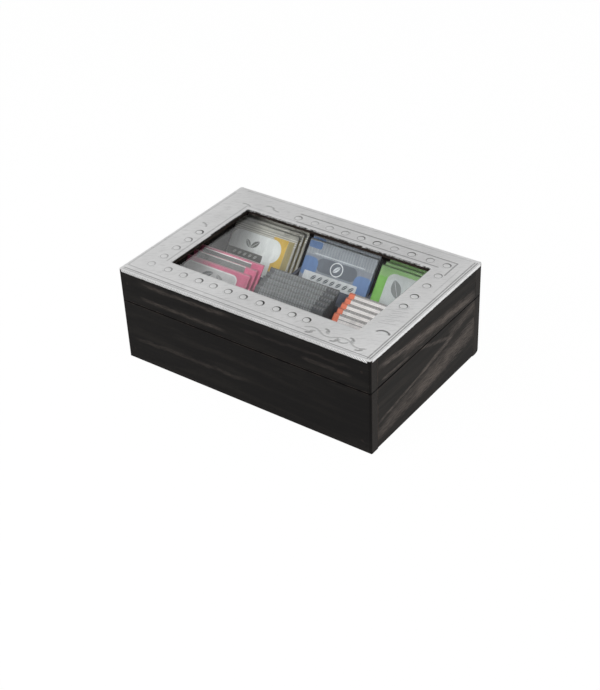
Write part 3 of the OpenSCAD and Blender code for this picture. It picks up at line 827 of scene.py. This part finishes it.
def sheet_relief(x, y, settings):
    """Height of the embossing over the sheet, in mm, the dark left in it, and where its dots are."""
    height = np.zeros(x.shape)
    dark = np.zeros(x.shape)
    place = np.full((x.size, 3), 9.0)
    power = np.zeros(x.shape)
    ring_width, ring_depth = 0.6, 0.09
    # Each dot's place, its strength and the direction of its shadow in degrees
    dots = [(px, -60, s, 58) for px, s in DOTS_FRONT]
    dots += [(-101, py, s, 62) for py, s in DOTS_LEFT]
    dots += [(px, 61.5, s, 105 + 25 * math.sin(px)) for px, s in DOTS_BACK]
    dots += [(100.8, py, s, 92) for py, s in DOTS_RIGHT]
    for px, py, strength, toward in dots:
        dx, dy = x - px, y - py
        near = np.hypot(dx, dy)
        cosine, sine = math.cos(math.radians(toward)), math.sin(math.radians(toward))
        here = near < DOT_REACH
        place[here, 0] = (dx * cosine + dy * sine)[here]
        place[here, 1] = (dy * cosine - dx * sine)[here]
        power[here] = strength
        dome = settings.dome * np.clip(1 - (near / DOT_DOME) ** 2, 0, None)
        height += dome - np.exp(-((near - DOT_RING) / ring_width) ** 2) * ring_depth * strength
    for line, depth, width, darkness in drawn_lines():
        off = off_line(x, y, line)
        height -= depth * settings.groove * np.exp(-(off / width) ** 2)
        height += 0.3 * depth * settings.groove * np.exp(-((off - 2 * width) / width) ** 2)
        dark = np.maximum(dark, darkness * np.exp(-(off / (width * 0.85)) ** 2))
    wrinkles = np.array([0.1 * noise.noise((px * 0.045, py * 0.06, 3))
                         + 0.05 * noise.noise((px * 0.16, py * 0.2, 9))
                         + 0.018 * noise.noise((px * 0.6, py * 0.45, 5))
                         for px, py in zip(x.tolist(), y.tolist())])
    return height + wrinkles, dark, place, power


def embossed_sheet(settings):
    """The sheet: a fine grid, embossed, folded down outside and turned down in the window."""
    sheet = 0.3
    low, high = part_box("embossed_metal_sheet")
    hx, hy = high.x / MM, high.y / MM
    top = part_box("lid_front_board")[1].z / MM + sheet
    win_low = (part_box("lid_frame_left_stile")[1].x / MM + sheet,
               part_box("lid_frame_front_rail")[1].y / MM + sheet)
    win_high = (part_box("lid_frame_right_stile")[0].x / MM - sheet,
                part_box("lid_frame_back_rail")[0].y / MM - sheet)
    # Outside: height of the flap, gap and notch at its corners, and radius and length of its bend
    flap, gap, notch, bend = top - low.z / MM, 3, 0.65, 0.6
    bent = bend * math.pi / 2
    reach_x, reach_y = (h - bend + bent + flap - bend for h in (hx, hy))
    # In the window: height of the lip, and the radius that it turns down with
    lip, roll = 1.45, 0.9
    hem = roll * math.pi / 2 + lip - roll
    # Largest square of the grid, and the length in which the embossing fades out at an edge
    step, fade = 0.77, 1.2

    def stops(half, reach, window, lines):
        inner = [window[0] - roll, window[0] - roll + hem, window[1] + roll - hem, window[1] + roll]
        outer = [half - bend + b for b in (0, bend / 2, bend, bent)] + [half - gap, reach]
        drawn = [line + beside for line in lines for beside in (-0.45, 0, 0.45)]
        given = inner + outer + [-o for o in outer] + drawn
        return sorted(set(round(g, 3) for g in given))

    across_lines = (-117.3, -94.3, 104.6, 115.2, 117.2)
    deep_lines = (-77.6, -75.8, -71, 55.9, 68.3, 77.2)
    us = spread(stops(hx, reach_x, (win_low[0], win_high[0]), across_lines), step)
    vs = spread(stops(hy, reach_y, (win_low[1], win_high[1]), deep_lines), step)
    bm = bmesh.new()
    bmesh.ops.create_grid(bm, x_segments=len(us) - 1, y_segments=len(vs) - 1, size=1.0)
    bm.verts.ensure_lookup_table()
    grid = np.array([v.co[:2] for v in bm.verts])
    iu = np.rint((grid[:, 0] + 1) / 2 * (len(us) - 1)).astype(int)
    iv = np.rint((grid[:, 1] + 1) / 2 * (len(vs) - 1)).astype(int)
    u, v = us[iu], vs[iv]

    # Leave out the window and the squares beyond the corners
    win_gap, wx, wy = rounded_gap(u, v, (win_low[0] - roll, win_low[1] - roll),
                                  (win_high[0] + roll, win_high[1] + roll), 2.6)
    inside = -win_gap
    in_window = inside > hem - 1e-4
    far_u, far_v = np.abs(u) > hx - bend + 1e-4, np.abs(v) > hy - bend + 1e-4
    corner_u, corner_v = np.abs(u) > hx - gap + 1e-4, np.abs(v) > hy - gap + 1e-4
    torn_u = far_u & corner_v & (np.abs(u) > hx - bend + notch)
    torn_v = far_v & corner_u & (np.abs(v) > hy - bend + notch)
    torn = torn_u | torn_v
    drop_faces = []
    for face in bm.faces:
        ids = [vert.index for vert in face.verts]
        if all(in_window[i] for i in ids) or any(torn[i] for i in ids):
            drop_faces.append(face)

    relief, dark, dot_place, dot_power = sheet_relief(u, v, settings)
    edge_u, edge_v = hx - bend - np.abs(u), hy - bend - np.abs(v)
    calm = np.clip(np.minimum(edge_u, edge_v) / fade, 0, 1) * np.clip(win_gap / fade, 0, 1)
    x, y = u.copy(), v.copy()
    z = top + relief * calm

    # Fold the outer flaps down
    fold_u, fold_v = far_u & ~corner_v, far_v & ~corner_u
    for folded, place, half, sign in ((fold_u, x, hx, np.sign(u)), (fold_v, y, hy, np.sign(v))):
        along = np.abs(place) - (half - bend)
        across, drop = fold(along, bend)
        place[folded] = (sign * (half - bend + across))[folded]
        z[folded] -= drop[folded]
    loose = np.maximum(fold_u * (np.abs(u) - hx + bend), fold_v * (np.abs(v) - hy + bend))
    ripple = np.array([noise.noise((px * 0.35, py * 0.35, 1))
                       + 0.6 * noise.noise((px * 1.1, py * 1.1, 4))
                       for px, py in zip(u.tolist(), v.tolist())])
    slack = np.clip(loose / fade, 0, 1) * (0.09 + 0.09 * ripple)
    x[fold_u] -= (np.sign(u) * slack)[fold_u]
    y[fold_v] -= (np.sign(v) * slack)[fold_v]
    z += np.where(loose > 1.7, 0.25 * (ripple + 0.9), 0) * (fold_u | fold_v)

    # Turn the hem down in the window
    hemmed = inside > 0
    depth = np.minimum(inside, hem)
    across, drop = fold(depth, roll)
    x[hemmed] = (u + wx * inside - wx * across)[hemmed]
    y[hemmed] = (v + wy * inside - wy * across)[hemmed]
    z[hemmed] -= drop[hemmed]
    near_hem = np.exp(-(win_gap / 1.6) ** 2)
    z -= 0.05 * near_hem * np.abs(ripple)

    # Round the corners of the plate
    rim_x, rim_y = hx - 0.35, hy - 0.35
    out_gap, ox, oy = rounded_gap(u, v, (-rim_x, -rim_y), (rim_x, rim_y), 2)
    pulled = corner_u & corner_v & (out_gap > 0)
    x[pulled] = (u - ox * out_gap)[pulled]
    y[pulled] = (v - oy * out_gap)[pulled]
    edge_only = (far_u & corner_v) | (far_v & corner_u)
    x[edge_only] = np.clip(x, -rim_x, rim_x)[edge_only]
    y[edge_only] = np.clip(y, -rim_y, rim_y)[edge_only]

    z = np.minimum(z, high.z / MM)
    patina, power = number_layers(bm, "patina", "dot_strength")
    dot = bm.verts.layers.float_vector.new("dot")
    # Painted shade on the hem turned down in the window: dark at the front and the sides, and broken by
    # noise at the back so that bright glints stay between the dark patches. It goes into the patina
    # attribute.
    behind = y > (win_low[1] + win_high[1]) / 2
    painted_hem_shade = np.where(behind, np.clip(0.6 + 0.9 * ripple, 0.2, 0.95), 0.9)
    painted_hem_shade = np.where(np.abs(wx) > 0.7, 0.95, painted_hem_shade)
    start = np.where(behind, 0.15 + 0.3 * ripple, 0.55)
    dark = np.maximum(dark * calm, painted_hem_shade * np.clip((inside - start) / 0.5, 0, 1))
    for vert, px, py, pz, shade, strength, at in zip(
            bm.verts, x.tolist(), y.tolist(), z.tolist(), dark.tolist(), dot_power.tolist(), dot_place):
        vert.co = (px * MM, py * MM, pz * MM)
        vert[patina] = shade
        vert[power] = strength
        vert[dot] = at
    bmesh.ops.delete(bm, geom=drop_faces, context="FACES")
    return bm


# Tea bags: pile, width, lean, how many, middle of the rearmost and of the foremost bag, top edge
# of the rearmost bag in Y and Z, and how far each bag has slid past the one behind it
PILES = {
    "tea_bags_front_left": (66.1, 42.01, 3, -71.85, -76.85, 5.21, 68.83, 6.0),
    "tea_bags_front_middle": (67.8, 42.01, 5, 1.17, 1.3, 5.72, 69.41, 4.5),
    "tea_bags_front_right": (66.1, 42.01, 5, 76.85, 76.6, 6.53, 70.3, 4.8),
    "tea_bags_back_left": (66.1, 38.81, 3, -71.85, -76.85, 70.2, 68.42, 3.5),
    "tea_bags_back_middle": (67.8, 38.81, 2, -1.04, -0.91, 70.2, 67.51, 3.5),
    "tea_bags_back_right": (66.1, 38.81, 3, 74.35, 71.85, 70.2, 68.42, 3.5),
}
BAG_HEIGHT = 77.39
BAG_PITCH = 2.9


def ramp(value, start, run):
    """0 up to the start, then straight up to 1 over the run."""
    return min(max((value - start) / run, 0), 1)


def envelope(width, number, count, place, seed, settings):
    """One puffed envelope with crimped, zigzag cut ends, put in its place by a matrix."""
    bm = bmesh.new()
    uv = bm.loops.layers.uv.new("UVMap")
    foremost, cut, bag = number_layers(bm, "foremost", "cut", "bag")
    columns, rows = 104, 30
    bmesh.ops.create_grid(bm, x_segments=columns, y_segments=rows, size=1.0)
    front_verts = bm.verts[:]
    back = bmesh.ops.duplicate(bm, geom=bm.verts[:] + bm.edges[:] + bm.faces[:])["geom"]
    back_verts = [item for item in back if isinstance(item, bmesh.types.BMVert)]
    back_faces = [item for item in back if isinstance(item, bmesh.types.BMFace)]
    bmesh.ops.reverse_faces(bm, faces=back_faces)
    # Thickness where it is sealed and what the tea adds, spacing of the cut's teeth and its reach
    flat, bulge, tooth_pitch, cut_reach = 0.36, 2.2, 1.3, 1.6
    rim = []
    for side, verts in ((-1, front_verts), (1, back_verts)):
        for vert in verts:
            gu, gv = vert.co.x, vert.co.y
            gv = math.copysign(abs(gv) ** 0.8, gv)
            u = gu * width / 2
            v = (gv + 1) / 2 * BAG_HEIGHT
            from_end = min(v, BAG_HEIGHT - v)
            from_side = width / 2 - abs(u)
            rise = ramp(from_end, settings.seal, 7.5)
            rise = rise * rise * (3 - 2 * rise)
            belly = math.sqrt(max(1 - (1 - min(from_side / 6, 1)) ** 2, 0))
            pad = ramp(from_side, 6, 5) * ramp(from_end, 12, 6)
            lumps = 0.5 + 0.5 * noise.noise((u * 0.07, v * 0.07, seed + side * 7))
            full = rise * belly * (0.72 + 0.28 * pad) * (1 - 0.14 * lumps)
            on_rim = max(abs(gu), abs(gv)) > 0.9999
            thick = 0 if on_rim else flat + bulge * full
            tooth = abs((u / tooth_pitch) % 1.0 - 0.5) * 2 * settings.teeth
            near_cut = max(0, 1 - from_end / cut_reach)
            v += tooth * near_cut * (1 if v < BAG_HEIGHT / 2 else -1)
            in_seal = max(0, 1 - from_end / settings.seal)
            crimp = 0.05 * math.sin(v / settings.crimp * math.tau) * in_seal
            vert.co = place @ Vector((u * MM, (side * thick / 2 + crimp) * MM, v * MM))
            vert[foremost] = 1.0 if number == count - 1 else 0.0
            vert[cut] = near_cut ** 3
            vert[bag] = (number + 0.5) / count
            for loop in vert.link_loops:
                loop[uv].uv = ((gu + 1) / 2, (gv + 1) / 2)
            if on_rim:
                rim.append(vert)
    bmesh.ops.remove_doubles(bm, verts=rim, dist=1e-6)
    return bm


def bag_pile(node, settings):
    """The envelopes of one compartment, from the rearmost one forwards."""
    width, lean, count, rear_x, fore_x, top_y, top_z, slip = PILES[node]
    turn = math.radians(lean)
    step_y = BAG_PITCH * math.cos(turn) + slip * math.sin(turn)
    step_z = slip * math.cos(turn) - BAG_PITCH * math.sin(turn)
    chance = random.Random(node)
    bm = bmesh.new()
    for number in range(count):
        x = rear_x + (fore_x - rear_x) * number / max(count - 1, 1)
        y = top_y - BAG_HEIGHT * math.sin(turn) - number * step_y
        z = top_z - BAG_HEIGHT * math.cos(turn) - number * step_z
        centre = Vector((0, 0, BAG_HEIGHT / 2 * MM))
        place = Matrix.Translation(Vector((x, y, z)) * MM) @ Matrix.Rotation(-turn, 4, "X")
        skew = Matrix.Rotation(math.radians(chance.uniform(-0.15, 0.15)), 4, "Y")
        place = place @ Matrix.Translation(centre) @ skew @ Matrix.Translation(-centre)
        one = envelope(width, number, count, place, chance.uniform(0, 50), settings)
        part = to_mesh(one, "envelope")
        bm.from_mesh(part)
        bpy.data.meshes.remove(part)
    return bm


# Operators


class PieceOperator:
    """What all operators here share."""

    bl_options = {"REGISTER", "UNDO"}

    def execute(self, context):
        self.build(context.scene)
        return {"FINISHED"}


class TEABOX_OT_stage(PieceOperator, bpy.types.Operator):
    """Set the camera at the photograph's angle, with soft studio light and a pale floor"""

    bl_idname = "teabox.stage"
    bl_label = "Stage"

    def build(self, scene):
        settings = scene.tea_box_stage
        camera_data = bpy.data.cameras.new("camera")
        camera = place_object("camera", camera_data)
        scene.camera = camera
        camera_data.lens = settings.lens
        camera_data.sensor_width = 36
        camera_data.clip_start = 0.01
        axes = Matrix(((0.81206, -0.30568, 0.49711), (0.58227, 0.48132, -0.65521),
                       (-0.03898, 0.82152, 0.56884)))
        camera.matrix_world = Matrix.Translation((0.56116, -0.74350, 0.65285)) @ axes.to_4x4()
        scene.view_settings.view_transform = "Standard"
        self.lamps(settings)
        self.sky(scene, settings)
        self.floor(settings)

    def lamps(self, settings):
        lamps = (("key", settings.key, (0.02, -0.5, 1.3), 2),
                 ("fill", settings.fill, (1, 0.5, 0.6), 0.9),
                 ("front", settings.front, (-0.25, -0.9, 0.7), 0.5))
        for name, power, place, size in lamps:
            data = bpy.data.lights.new(name, "AREA")
            data.energy = power
            data.size = size
            lamp = place_object(name, data)
            lamp.location = place
            lamp.visible_glossy = False
            aim = Vector((0, 0, 0.04)) - Vector(place)
            lamp.rotation_euler = aim.to_track_quat("-Z", "Y").to_euler()

    def sky(self, scene, settings):
        world = bpy.data.worlds.new("sky")
        scene.world = world
        world.use_nodes = True
        world.node_tree.nodes.clear()
        w = Tree(world.node_tree)
        seen = w.shown()
        # A dark gap between the white screens, which the glass reflects right of its left third
        x, y, z = w.parts(w.node("ShaderNodeTexCoord").outputs["Generated"])
        azimuth = w.math("ARCTAN2", y, x)
        gap = (w.rise(azimuth, math.radians(92), math.radians(102))
               * w.rise(azimuth, math.radians(133), math.radians(126.5))
               * w.rise(z, 0.3, 0.4) * w.rise(z, 0.76, 0.66))
        reflected = w.node("ShaderNodeLightPath").outputs["Is Glossy Ray"]
        white = seen * (1 - gap * reflected * 0.86)
        light = w.write("ShaderNodeBackground", (WHITE, (1 - seen) * settings.ambient + white))
        output = w.node("ShaderNodeOutputWorld")
        w.put(output.inputs["Surface"], light)

    def floor(self, settings):
        bm = bmesh.new()
        bmesh.ops.create_grid(bm, x_segments=8, y_segments=8, size=3)
        floor = place_object("floor", to_mesh(bm, "floor"))
        material, w = new_material("floor")
        mottle = w.noise(w.object_mm(), 0.01, 2)
        w.shade("Base Color", w.mix(mottle, toned(settings.floor, 0.985), settings.floor))
        w.shade("Roughness", 0.9)
        glow = w.write("ShaderNodeEmission", [WHITE])
        w.blend(w.shown() * 0.985, w.shader.outputs[0], glow)
        floor.data.materials.append(material)


class TEABOX_OT_boards(PieceOperator, bpy.types.Operator):
    """Give the case boards worn edges and ebonised grain"""

    bl_idname = "teabox.boards"
    bl_label = "Case boards"

    def build(self, scene):
        settings = scene.tea_box_case
        stain, side, streak = settings.stain, settings.lit_side_stain, settings.streak
        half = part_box("base_front_board")[1].x / MM
        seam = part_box("base_front_board")[1].z / MM
        # Painted light: each face has its own light grain colour, darkest on the front and lightest on
        # the sides, for the light that falls on it.
        front = stained_wood(
            "ebonised_front_wood", "x", stain, rgb(31, 29, 27),
            [(-100, 77.5, -6, 78.4, 2.6, 1.6, 0.2), (-100, 63.8, -12, 63.2, 2.4, 1.5, 0.2),
             (-112, 21, 10, 24, 2.6, 3.5, 0.12), (58, 66.4, 104, 65.6, 2.6, 1.2, 0.12),
             (-70, 41, 60, 36, 3.2, 4, 0.02), (0, 71, 108, 74, 2, 2, 0.07)],
            streak, 0.9, half, seam)
        back = stained_wood(
            "ebonised_back_wood", "x", stain, rgb(36, 33, 31),
            [(-104, 73, 60, 76, 3, 2.4, 0.26), (-90, 44, 108, 36, 3.4, 3.6, 0.26),
             (-110, 14, 40, 20, 3.2, 2.4, 0.24)],
            streak, 0.9, half, seam)
        right = stained_wood(
            "ebonised_right_wood", "y", side, rgb(56, 51, 47),
            [(-72, 73.5, 75, 59, 3.8, 1.2, 0.68), (-66, 60.2, -26, 58.6, 1.8, 0.6, 0.5),
             (-40, 66, 74, 61.5, 6.5, 1.5, 0.4), (36, 40.5, -14, 57, 2.4, 0.8, 0.42),
             (38, 41, -12, 32, 3, 0.7, 0.72), (6, 34.5, -72, 23, 1.9, 0.8, 0.62),
             (-64, 18, 40, 33, 6, 1.2, 0.34), (-76, 12.5, 30, 20, 7, 1.5, 0.52),
             (-20, 17, 78, 28, 9.5, 1.5, 0.58), (24, 25, 78, 37, 7, 1, 0.5),
             (30, 44, 80, 52, 6, 1.5, 0.45)],
            streak, 0.8, 0, seam)
        left = stained_wood(
            "ebonised_left_wood", "y", side, rgb(56, 51, 47),
            [(-70, 62, 72, 72, 3.6, 1.6, 0.5), (-72, 26, 40, 36, 3, 2, 0.5),
             (-30, 14, 74, 20, 6, 2, 0.42), (-60, 45, 20, 49, 2.2, 1.4, 0.4)],
            streak, 0.8, 0, seam)
        finishes = {"front": front, "back": back, "left": left, "right": right}
        clear = {"base": brad_places("base_brads"), "lid": brad_places("lid_brads")}
        for body in ("base", "lid"):
            for side_name, material in finishes.items():
                node = f"{body}_{side_name}_board"
                keep = clear[body] + (hinge_places() if side_name == "back" else [])
                dress(node, body, material, "ebonised_wood", None, settings.edge_round, keep)


class TEABOX_OT_inner_wood(PieceOperator, bpy.types.Operator):
    """Finish the bottom, the dividers, the frame under the metal and the glass beads"""

    bl_idname = "teabox.inner_wood"
    bl_label = "Inner wood"

    def build(self, scene):
        settings = scene.tea_box_case
        along_x = stained_wood("inner_wood_long", "x", settings.inner, rgb(64, 54, 48))
        along_y = stained_wood("inner_wood_short", "y", settings.inner, rgb(64, 54, 48))
        slate = painted_wood("divider_paint", settings.divider)
        repaint(along_x, "lid_frame_front_rail", "lid_frame_back_rail")
        repaint(along_y, "lid_frame_left_stile", "lid_frame_right_stile")
        pieces = [("base_bottom_panel", "base", along_x, "panel_wood")]
        pieces += [(n, "base", slate, "divider_wood")
                   for n in ("long_divider", "cross_divider_left", "cross_divider_right")]
        pieces += [(f"glass_bead_{s}", "lid", along_x if s in ("front", "back") else along_y,
                    "panel_wood") for s in ("front", "back", "left", "right")]
        for piece in pieces:
            dress(*piece)


class TEABOX_OT_sheet(PieceOperator, bpy.types.Operator):
    """Emboss the metal sheet and fold its edges"""

    bl_idname = "teabox.sheet"
    bl_label = "Embossed sheet"

    def build(self, scene):
        settings = scene.tea_box_sheet
        material = sheet_metal("embossed_pewter", settings.metal, settings.patina)
        piece = finish_piece(embossed_sheet(settings), "embossed_sheet", "embossed_metal_sheet",
                             "lid", material)
        wall = piece.modifiers.new("thickness", "SOLIDIFY")
        wall.thickness = settings.thickness * MM
        wall.offset = -1


class TEABOX_OT_glass(PieceOperator, bpy.types.Operator):
    """Grind the edges of the window glass and make it clear"""

    bl_idname = "teabox.glass"
    bl_label = "Window glass"

    def build(self, scene):
        glass = window_glass("clear_glass")
        dress("window_glass", "lid", glass, "window_glass", "window_pane", 0.3)


class TEABOX_OT_hardware(PieceOperator, bpy.types.Operator):
    """Finish the hinges, their pins and screws, and the brads"""

    bl_idname = "teabox.hardware"
    bl_label = "Hinges and brads"

    def build(self, scene):
        colour = scene.tea_box_sheet.brass
        brass = turned_metal("hinge_brass", colour, 0.34)
        pin = turned_metal("pin_brass", toned(colour, 0.8), 0.3)
        filler = stained_wood("brad_filler", "x", rgb(20, 18, 17), rgb(52, 46, 43))
        for side in ("left", "right"):
            repaint(brass, "hinge_base_leaf_" + side, "hinge_lid_leaf_" + side)
        repaint(pin, "hinge_pins", "base_hinge_screws", "lid_hinge_screws")
        repaint(filler, "base_brads", "lid_brads")


class TEABOX_OT_tea_bags(PieceOperator, bpy.types.Operator):
    """Fill the six compartments with printed envelopes"""

    bl_idname = "teabox.tea_bags"
    bl_label = "Tea bags"

    def build(self, scene):
        settings = scene.tea_box_bags
        orange, blue = settings.orange, settings.blue
        top = BAG_HEIGHT
        designs = {
            "tea_bags_front_left": (settings.pink, [
                ("behind", rgb(100, 99, 98), -4, 73.6, 25, 2.6, 0.2),
                ("behind", rgb(232, 226, 224), -4, 76.5, 25, 0.35, 0.1),
                ("rear", settings.pink, 0, 76.6, 34, 1.6, 0.1),
                ("rear", rgb(236, 231, 229), -4, 74.8, 25, 0.35, 0.1),
                ("front", rgb(186, 184, 184), -5, 60, 27.5, 13, 6),
                ("front", rgb(222, 220, 219), -5, 60, 27.5, 13, 6, 1.1),
                ("leaf", rgb(84, 85, 88), -8, 66, 0.5, 14, 5.5),
                ("leaf", rgb(128, 127, 126), 6, 65.5, 2.5, 11, 4.5)], 0.3),
            "tea_bags_front_middle": (settings.slate, [
                ("hatch", rgb(158, 159, 160), 12, top, 2.2, 1.4),
                # Painted shadow: a thin dark line without hatch along the top edge of the bag in front.
                ("patch", rgb(74, 75, 77), 0, 72.6, 34, 0.3, 0.1),
                ("patch", rgb(54, 55, 58), 28.5, 40, 6.5, 40, 0.5),
                *(("leaf", rgb(136, 137, 140), u, 75.2, 1.4, 4.4, 0.9) for u in (24.5, 27, 29.3, 31.8)),
                ("patch", rgb(68, 69, 72), -32, 40, 3, 40, 0.5),
                ("front", rgb(160, 160, 160), -2, 58, 24, 12, 7),
                ("front", rgb(90, 90, 92), -2, 58, 22.5, 10.5, 6, 0.6)], 0.2),
            "tea_bags_front_right": (rgb(232, 224, 222), [
                # Painted shade: a grey band over the crimped top of each bag.
                ("patch", rgb(148, 143, 142), 4, 76.6, 34, 0.95, 0.1),
                ("rear", rgb(222, 140, 104), 20, 76.9, 15, 0.6, 0.1),
                ("hatch", rgb(212, 205, 204), 76, top, 1.9, 1.5),
                # Painted shadow: a thin dark line just above the top edge of the bag in front.
                ("patch", rgb(132, 127, 126), 4, 72.9, 34, 0.3, 0.1),
                ("patch", orange, -31, 40, 3.4, 42, 0.3),
                ("patch", orange, 4, 48, 20, 11, 5, 1)], 0.1),
            "tea_bags_back_left": (rgb(172, 168, 158), [
                # Painted glints: horizontal light stripes over the foil tops of the bags.
                ("hatch", rgb(222, 219, 210), 66, 74, 1.8, 0),
                # Painted light: a lighter patch over the top left of the bags, lifting the shadow of
                # the lid frame.
                ("patch", rgb(204, 200, 190), -8, 75.9, 25.5, 1.7, 0.4),
                ("patch", rgb(156, 142, 96), 28, 53, 2.8, 17.5, 0.4),
                ("patch", settings.yellow, 17.3, 53, 7.6, 17.5, 0.6),
                ("patch", rgb(238, 239, 237), -9, 46, 23.5, 14, 4),
                ("patch", rgb(244, 245, 243), -6, 57.5, 27, 10.5, 10),
                ("leaf", rgb(112, 114, 110), -6, 58.5, 0.75, 11, 4.6),
                ("leaf", rgb(142, 144, 140), -13, 58, 2.3, 9, 4),
                ("patch", rgb(104, 103, 100), -14, 48, 19, 3.2, 0.5),
                *(("leaf", rgb(214, 215, 212), u, 48, 0.7, 5, 2) for u in (-24, -18.5, -13, -7.5, -2)),
                ("patch", rgb(160, 158, 150), -9, 36, 20, 0.5, 0.2)], 0.25),
            "tea_bags_back_middle": (rgb(146, 150, 158), [
                ("hatch", rgb(190, 194, 200), 64, top, 2.4, 1.5),
                ("patch", rgb(218, 222, 226), 0, 65.5, 25, 0.45, 0.2),
                ("patch", rgb(104, 109, 118), 0, 57.5, 20, 6, 5.9),
                ("patch", blue, -27, 54, 8.4, 8, 5.5),
                ("patch", blue, 27, 51, 8.4, 8, 5.5),
                ("patch", blue, -27, 72.5, 6.5, 3, 1.5),
                ("patch", rgb(240, 242, 243), 0, 57.5, 6.2, 6.1, 6, 0.9),
                ("leaf", rgb(228, 231, 234), 0, 57.5, 0.8, 8.6, 3.8),
                ("patch", rgb(84, 88, 102), 0, 34, 33, 7.6, 0.6),
                ("patch", rgb(222, 223, 224), -3, 45.6, 26.5, 4.2, 0.8),
                ("leaves", rgb(92, 96, 102), 6.3, 21.5, 45.6, 0.75, 7, 2.8)], 0.25),
            "tea_bags_back_right": (settings.green, [
                ("hatch", rgb(164, 180, 152), 68, top, 1.3, 0.3),
                ("patch", rgb(196, 199, 198), 1, 52, 25, 20.5, 6.5),
                ("leaf", rgb(130, 132, 132), -13, 60.5, 2.1, 17, 9),
                ("leaf", rgb(150, 152, 152), -1, 59.5, 1, 17, 9),
                ("leaf", rgb(92, 96, 94), -7, 52.5, 1.5, 9, 4),
                ("patch", rgb(150, 152, 152), 4, 42, 17, 0.5, 0.2)], 0.25),
        }
        for node, (ground, layers, paper_edge) in designs.items():
            width = PILES[node][0]
            label = node.replace("tea_bags", "paper")
            material = envelope_paper(label, ground, layers, width, paper_edge, settings)
            finish_piece(bag_pile(node, settings), node.replace("tea_bags", "envelopes"), node, "base",
                         material)


OPERATORS = (TEABOX_OT_stage, TEABOX_OT_boards, TEABOX_OT_inner_wood, TEABOX_OT_sheet,
             TEABOX_OT_glass, TEABOX_OT_hardware, TEABOX_OT_tea_bags)


class TEABOX_PT_panel(bpy.types.Panel):
    """Settings and pieces of the tea box"""

    bl_label = "Tea Box"
    bl_idname = "TEABOX_PT_panel"
    bl_space_type = "VIEW_3D"
    bl_region_type = "UI"
    bl_category = "Tea Box"

    def draw(self, context):
        for operator in OPERATORS:
            self.layout.operator(operator.bl_idname)
        for name, group in SETTINGS.items():
            box = self.layout.box()
            for key in group.__annotations__:
                box.prop(getattr(context.scene, name), key)


CLASSES = (*SETTINGS.values(), *OPERATORS, TEABOX_PT_panel)


def register():
    for cls in CLASSES:
        bpy.utils.register_class(cls)
    for name, group in SETTINGS.items():
        setattr(bpy.types.Scene, name, PointerProperty(type=group))


def unregister():
    for name in SETTINGS:
        delattr(bpy.types.Scene, name)
    for cls in reversed(CLASSES):
        bpy.utils.unregister_class(cls)


def main():
    register()
    make_effects()
    for operator in OPERATORS:
        group, action = operator.bl_idname.split(".")
        getattr(getattr(bpy.ops, group), action)()


if __name__ == "__main__":
    main()
